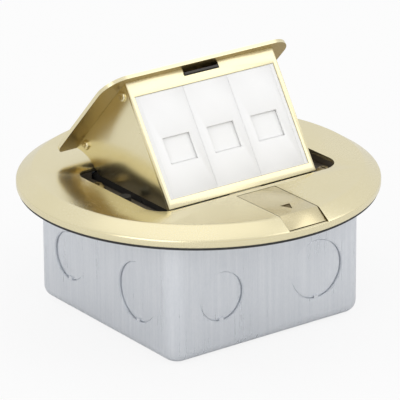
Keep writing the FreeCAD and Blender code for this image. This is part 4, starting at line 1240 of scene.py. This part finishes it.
@dataclass
class InnerParts:
    """The CAD pieces that keep their own shape and only need their finish."""

    finishes: tuple[tuple[Union[Brass, Zinc, Moulding, Steel], tuple[str, ...]], ...] = (
        # The frame is black; its dark colour also stands in for the shade in the gap below the opening's
        # edge.
        (Moulding("black_nylon", (0.085, 0.072, 0.056), (0.065, 0.055, 0.043), 0.5, 0.06, 0.5),
         ("mounting_frame", "arm_bushes")),
        (Moulding("black_rubber", (0.03, 0.03, 0.03), (0.02, 0.02, 0.02), 0.7, 0.12),
         ("gasket", "buffer_pads")),
        # The arms are black; their dark colour also stands in for the shade in the gap beside the cheeks.
        (Steel("black_steel", (0.06, 0.055, 0.05), 0.45, 0.3), ("arm_left", "arm_right", "latch_keeper")),
        (Steel("bright_steel", (0.62, 0.62, 0.63), 0.25),
         ("tie_bar", "hinge_pins", "frame_screws", "button_rivets",
          "earth_stud", "earth_washer", "earth_nut")),
        (Steel("spring_steel", (0.36, 0.34, 0.31), 0.32),
         ("latch_tongue", "pin_clips", "hinge_spring_left", "hinge_spring_right", "slider_spring",
          "shutter_spring_1", "shutter_spring_2", "shutter_spring_3")),
        (Brass("brass_fixing_screw", Grain.EVEN, (0.34, 0.28, 0.16), (0.26, 0.21, 0.12), 0.4),
         ("fixing_screws",)),
        (Zinc("galvanised_lugs"), ("fixing_lugs",)),
        (Moulding("white_carrier", (0.92, 0.92, 0.91), (0.89, 0.89, 0.88), 0.4),
         ("module_carrier", "jack_1", "jack_2", "jack_3")),
        (Moulding("wire_cap_plastic", (0.78, 0.80, 0.82), (0.72, 0.74, 0.77), 0.25),
         ("wire_cap_1", "wire_cap_2", "wire_cap_3")),
        (Brass("contact_gold", Grain.EVEN, (0.95, 0.75, 0.32), (0.9, 0.68, 0.28), 0.18),
         ("jack_contacts_1", "jack_contacts_2", "jack_contacts_3")),
    )

    def dress(self) -> None:
        """Give each CAD node its finish, and work out how far each spring would shorten."""
        for finish, nodes in self.finishes:
            material = finish.build()
            for node in nodes:
                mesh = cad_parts[node].data
                mesh.materials.clear()
                mesh.materials.append(material)
                LOG.info("%s: %s", node, finish.name)
        for travel in SPRING_TRAVELS:
            travel.apply()


@dataclass(frozen=True)
class SpringTravel:
    """One coil spring that shortens towards its fixed end as a joint moves."""

    node: str
    joint: str
    towards_fixed_end: Triple
    travel: float

    def apply(self) -> None:
        """Work out how much of the spring's length would stay after its travel, and give it a mesh of its
        own.
        """
        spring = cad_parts[self.node]
        axis = Vector(self.towards_fixed_end).normalized()
        points = sorted((vertex.co.copy() for vertex in spring.data.vertices), key=axis.dot)
        length = (points[-1] - points[0]).dot(axis)
        keep = 1.0 - self.travel / length
        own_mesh(spring)
        LOG.info("%s keeps %.2f of %.1f mm", self.node, keep, length / MM)


FORWARDS = (0.0, -1.0, 0.0)
UP_THE_FACE = (0.0, 0.5505, 0.8348)  # with the lid open
BUTTON_TRAVEL, SHUTTER_TRAVEL = 0.0035, 0.009  # in metres
SPRING_TRAVELS = (
    SpringTravel("slider_spring", "button_release", FORWARDS, BUTTON_TRAVEL),
    *(
        SpringTravel(f"shutter_spring_{n}", f"shutter_{n}_slide", UP_THE_FACE, SHUTTER_TRAVEL)
        for n in (1, 2, 3)
    ),
)


@dataclass(frozen=True)
class Lamp:
    """One soft rectangular lamp, with lengths in metres and power in watts."""

    name: str
    place: Triple
    aim: Triple
    size: Point
    power: float

    def add(self) -> None:
        """Stand the lamp in the scene, facing its aim."""
        data = bpy.data.lights.new(self.name, "AREA")
        data.shape = "RECTANGLE"
        data.size, data.size_y = self.size
        data.energy = self.power
        lamp = bpy.data.objects.new(self.name, data)
        lamp.location = self.place
        lamp.rotation_euler = (Vector(self.aim) - Vector(self.place)).to_track_quat("-Z", "Y").to_euler()
        bpy.context.scene.collection.objects.link(lamp)


@dataclass
class Studio:
    """The pale floor, the lights and the camera."""

    azimuth: float = -36.18
    elevation: float = 21.26
    roll: float = -0.325
    distance: float = 1500.0
    focal: float = 3583.0
    frame_width: float = 400.0
    shift_x: float = -0.66
    shift_y: float = 15.25
    sensor: float = 36.0
    clip: Point = (0.05, 20.0)
    sky: tuple[tuple[float, Triple], ...] = (
        (0.0, (0.86, 0.86, 0.86)), (1.0, (0.95, 0.95, 0.96)), (1.0, (1.0, 1.0, 1.0)),
    )
    sky_strength: float = 0.92
    floor_size: float = 6.0
    floor_drop: float = 0.0005
    lamps: tuple[Lamp, ...] = (
        Lamp("key_right", (0.95, -0.8, 1.1), (0.0, 0.0, 0.06), (1.1, 1.1), 3.0),
        Lamp("fill_left", (-1.2, -0.5, 0.7), (0.0, 0.0, 0.04), (0.9, 0.9), 3.2),
        Lamp("top_soft", (0.0, 0.2, 1.5), (0.0, 0.0, 0.06), (1.2, 1.2), 1.2),
    )

    def camera(self) -> None:
        """Stand the camera where it sees the flange's centre from the front left."""
        a, e, r = (math.radians(v) for v in (self.azimuth, self.elevation, self.roll))
        back = Vector((math.sin(a) * math.cos(e), -math.cos(a) * math.cos(e), math.sin(e)))
        right = Vector((math.cos(a), math.sin(a), 0.0))
        up = back.cross(right)
        across = right * math.cos(r) + up * math.sin(r)
        upward = up * math.cos(r) - right * math.sin(r)
        place = back * self.distance - across * self.shift_x - upward * self.shift_y
        data = bpy.data.cameras.new("studio_camera")
        data.sensor_width = self.sensor
        data.lens = self.focal / self.frame_width * data.sensor_width
        data.clip_start, data.clip_end = self.clip
        camera = bpy.data.objects.new("studio_camera", data)
        bpy.context.scene.collection.objects.link(camera)
        stand = Matrix.Translation((place + Vector((0, 0, OVERALL_HEIGHT))) * MM)
        camera.matrix_world = stand @ Matrix((
            (across.x, upward.x, back.x, 0), (across.y, upward.y, back.y, 0),
            (across.z, upward.z, back.z, 0), (0, 0, 0, 1),
        ))
        bpy.context.scene.camera = camera

    def world(self) -> None:
        """A soft studio that is darker near the ground, seen as white by the camera."""
        shader = Shader(bpy.data.worlds.new("studio_world"))
        place = shader.node("ShaderNodeTexCoord").outputs["Generated"]
        height = shader.node("ShaderNodeSeparateXYZ", None, {0: place}).outputs["Z"]
        tone = shader.node("ShaderNodeValToRGB", {"ramp": self.sky}, {0: height}).outputs[0]
        around = shader.node("ShaderNodeBackground", None, {"Color": tone, "Strength": self.sky_strength})
        plain = shader.node("ShaderNodeBackground", None, {"Color": (1.0, 1.0, 1.0)})
        seen = shader.node("ShaderNodeLightPath").outputs["Is Camera Ray"]
        bpy.context.scene.world = shader.close(shader.node(
            "ShaderNodeMixShader", None, {0: seen, 1: around.outputs[0], 2: plain.outputs[0]},
        ))

    def floor(self) -> None:
        """The pale floor under the object."""
        deselect()
        bpy.ops.mesh.primitive_grid_add(
            x_subdivisions=4, y_subdivisions=4, size=self.floor_size, location=(0.0, 0.0, -self.floor_drop),
        )
        ground = bpy.context.object
        ground.name = "studio_floor"
        bpy.ops.object.transform_apply()
        ground.data.materials.append(Backdrop().build())
        deselect()

    def build(self) -> None:
        """Set up the whole studio."""
        self.camera()
        self.world()
        self.floor()
        for lamp in self.lamps:
            lamp.add()
        bpy.context.scene.view_settings.view_transform = "Standard"


def main() -> None:
    """Build every sub-assembly in order, then the studio."""
    logging.basicConfig(level=logging.INFO, format="%(name)s %(message)s")
    assemblies: Iterable[object] = (
        BackBox(), Flange(), PopUpLid(), Shroud(), ReleaseButton(), DataModules(), LidScrews(), InnerParts(),
    )
    for assembly in assemblies:
        LOG.info("building %s", type(assembly).__name__)
        assembly.dress()
    Studio().build()
    bpy.context.view_layer.update()


if __name__ == "__main__":
    main()
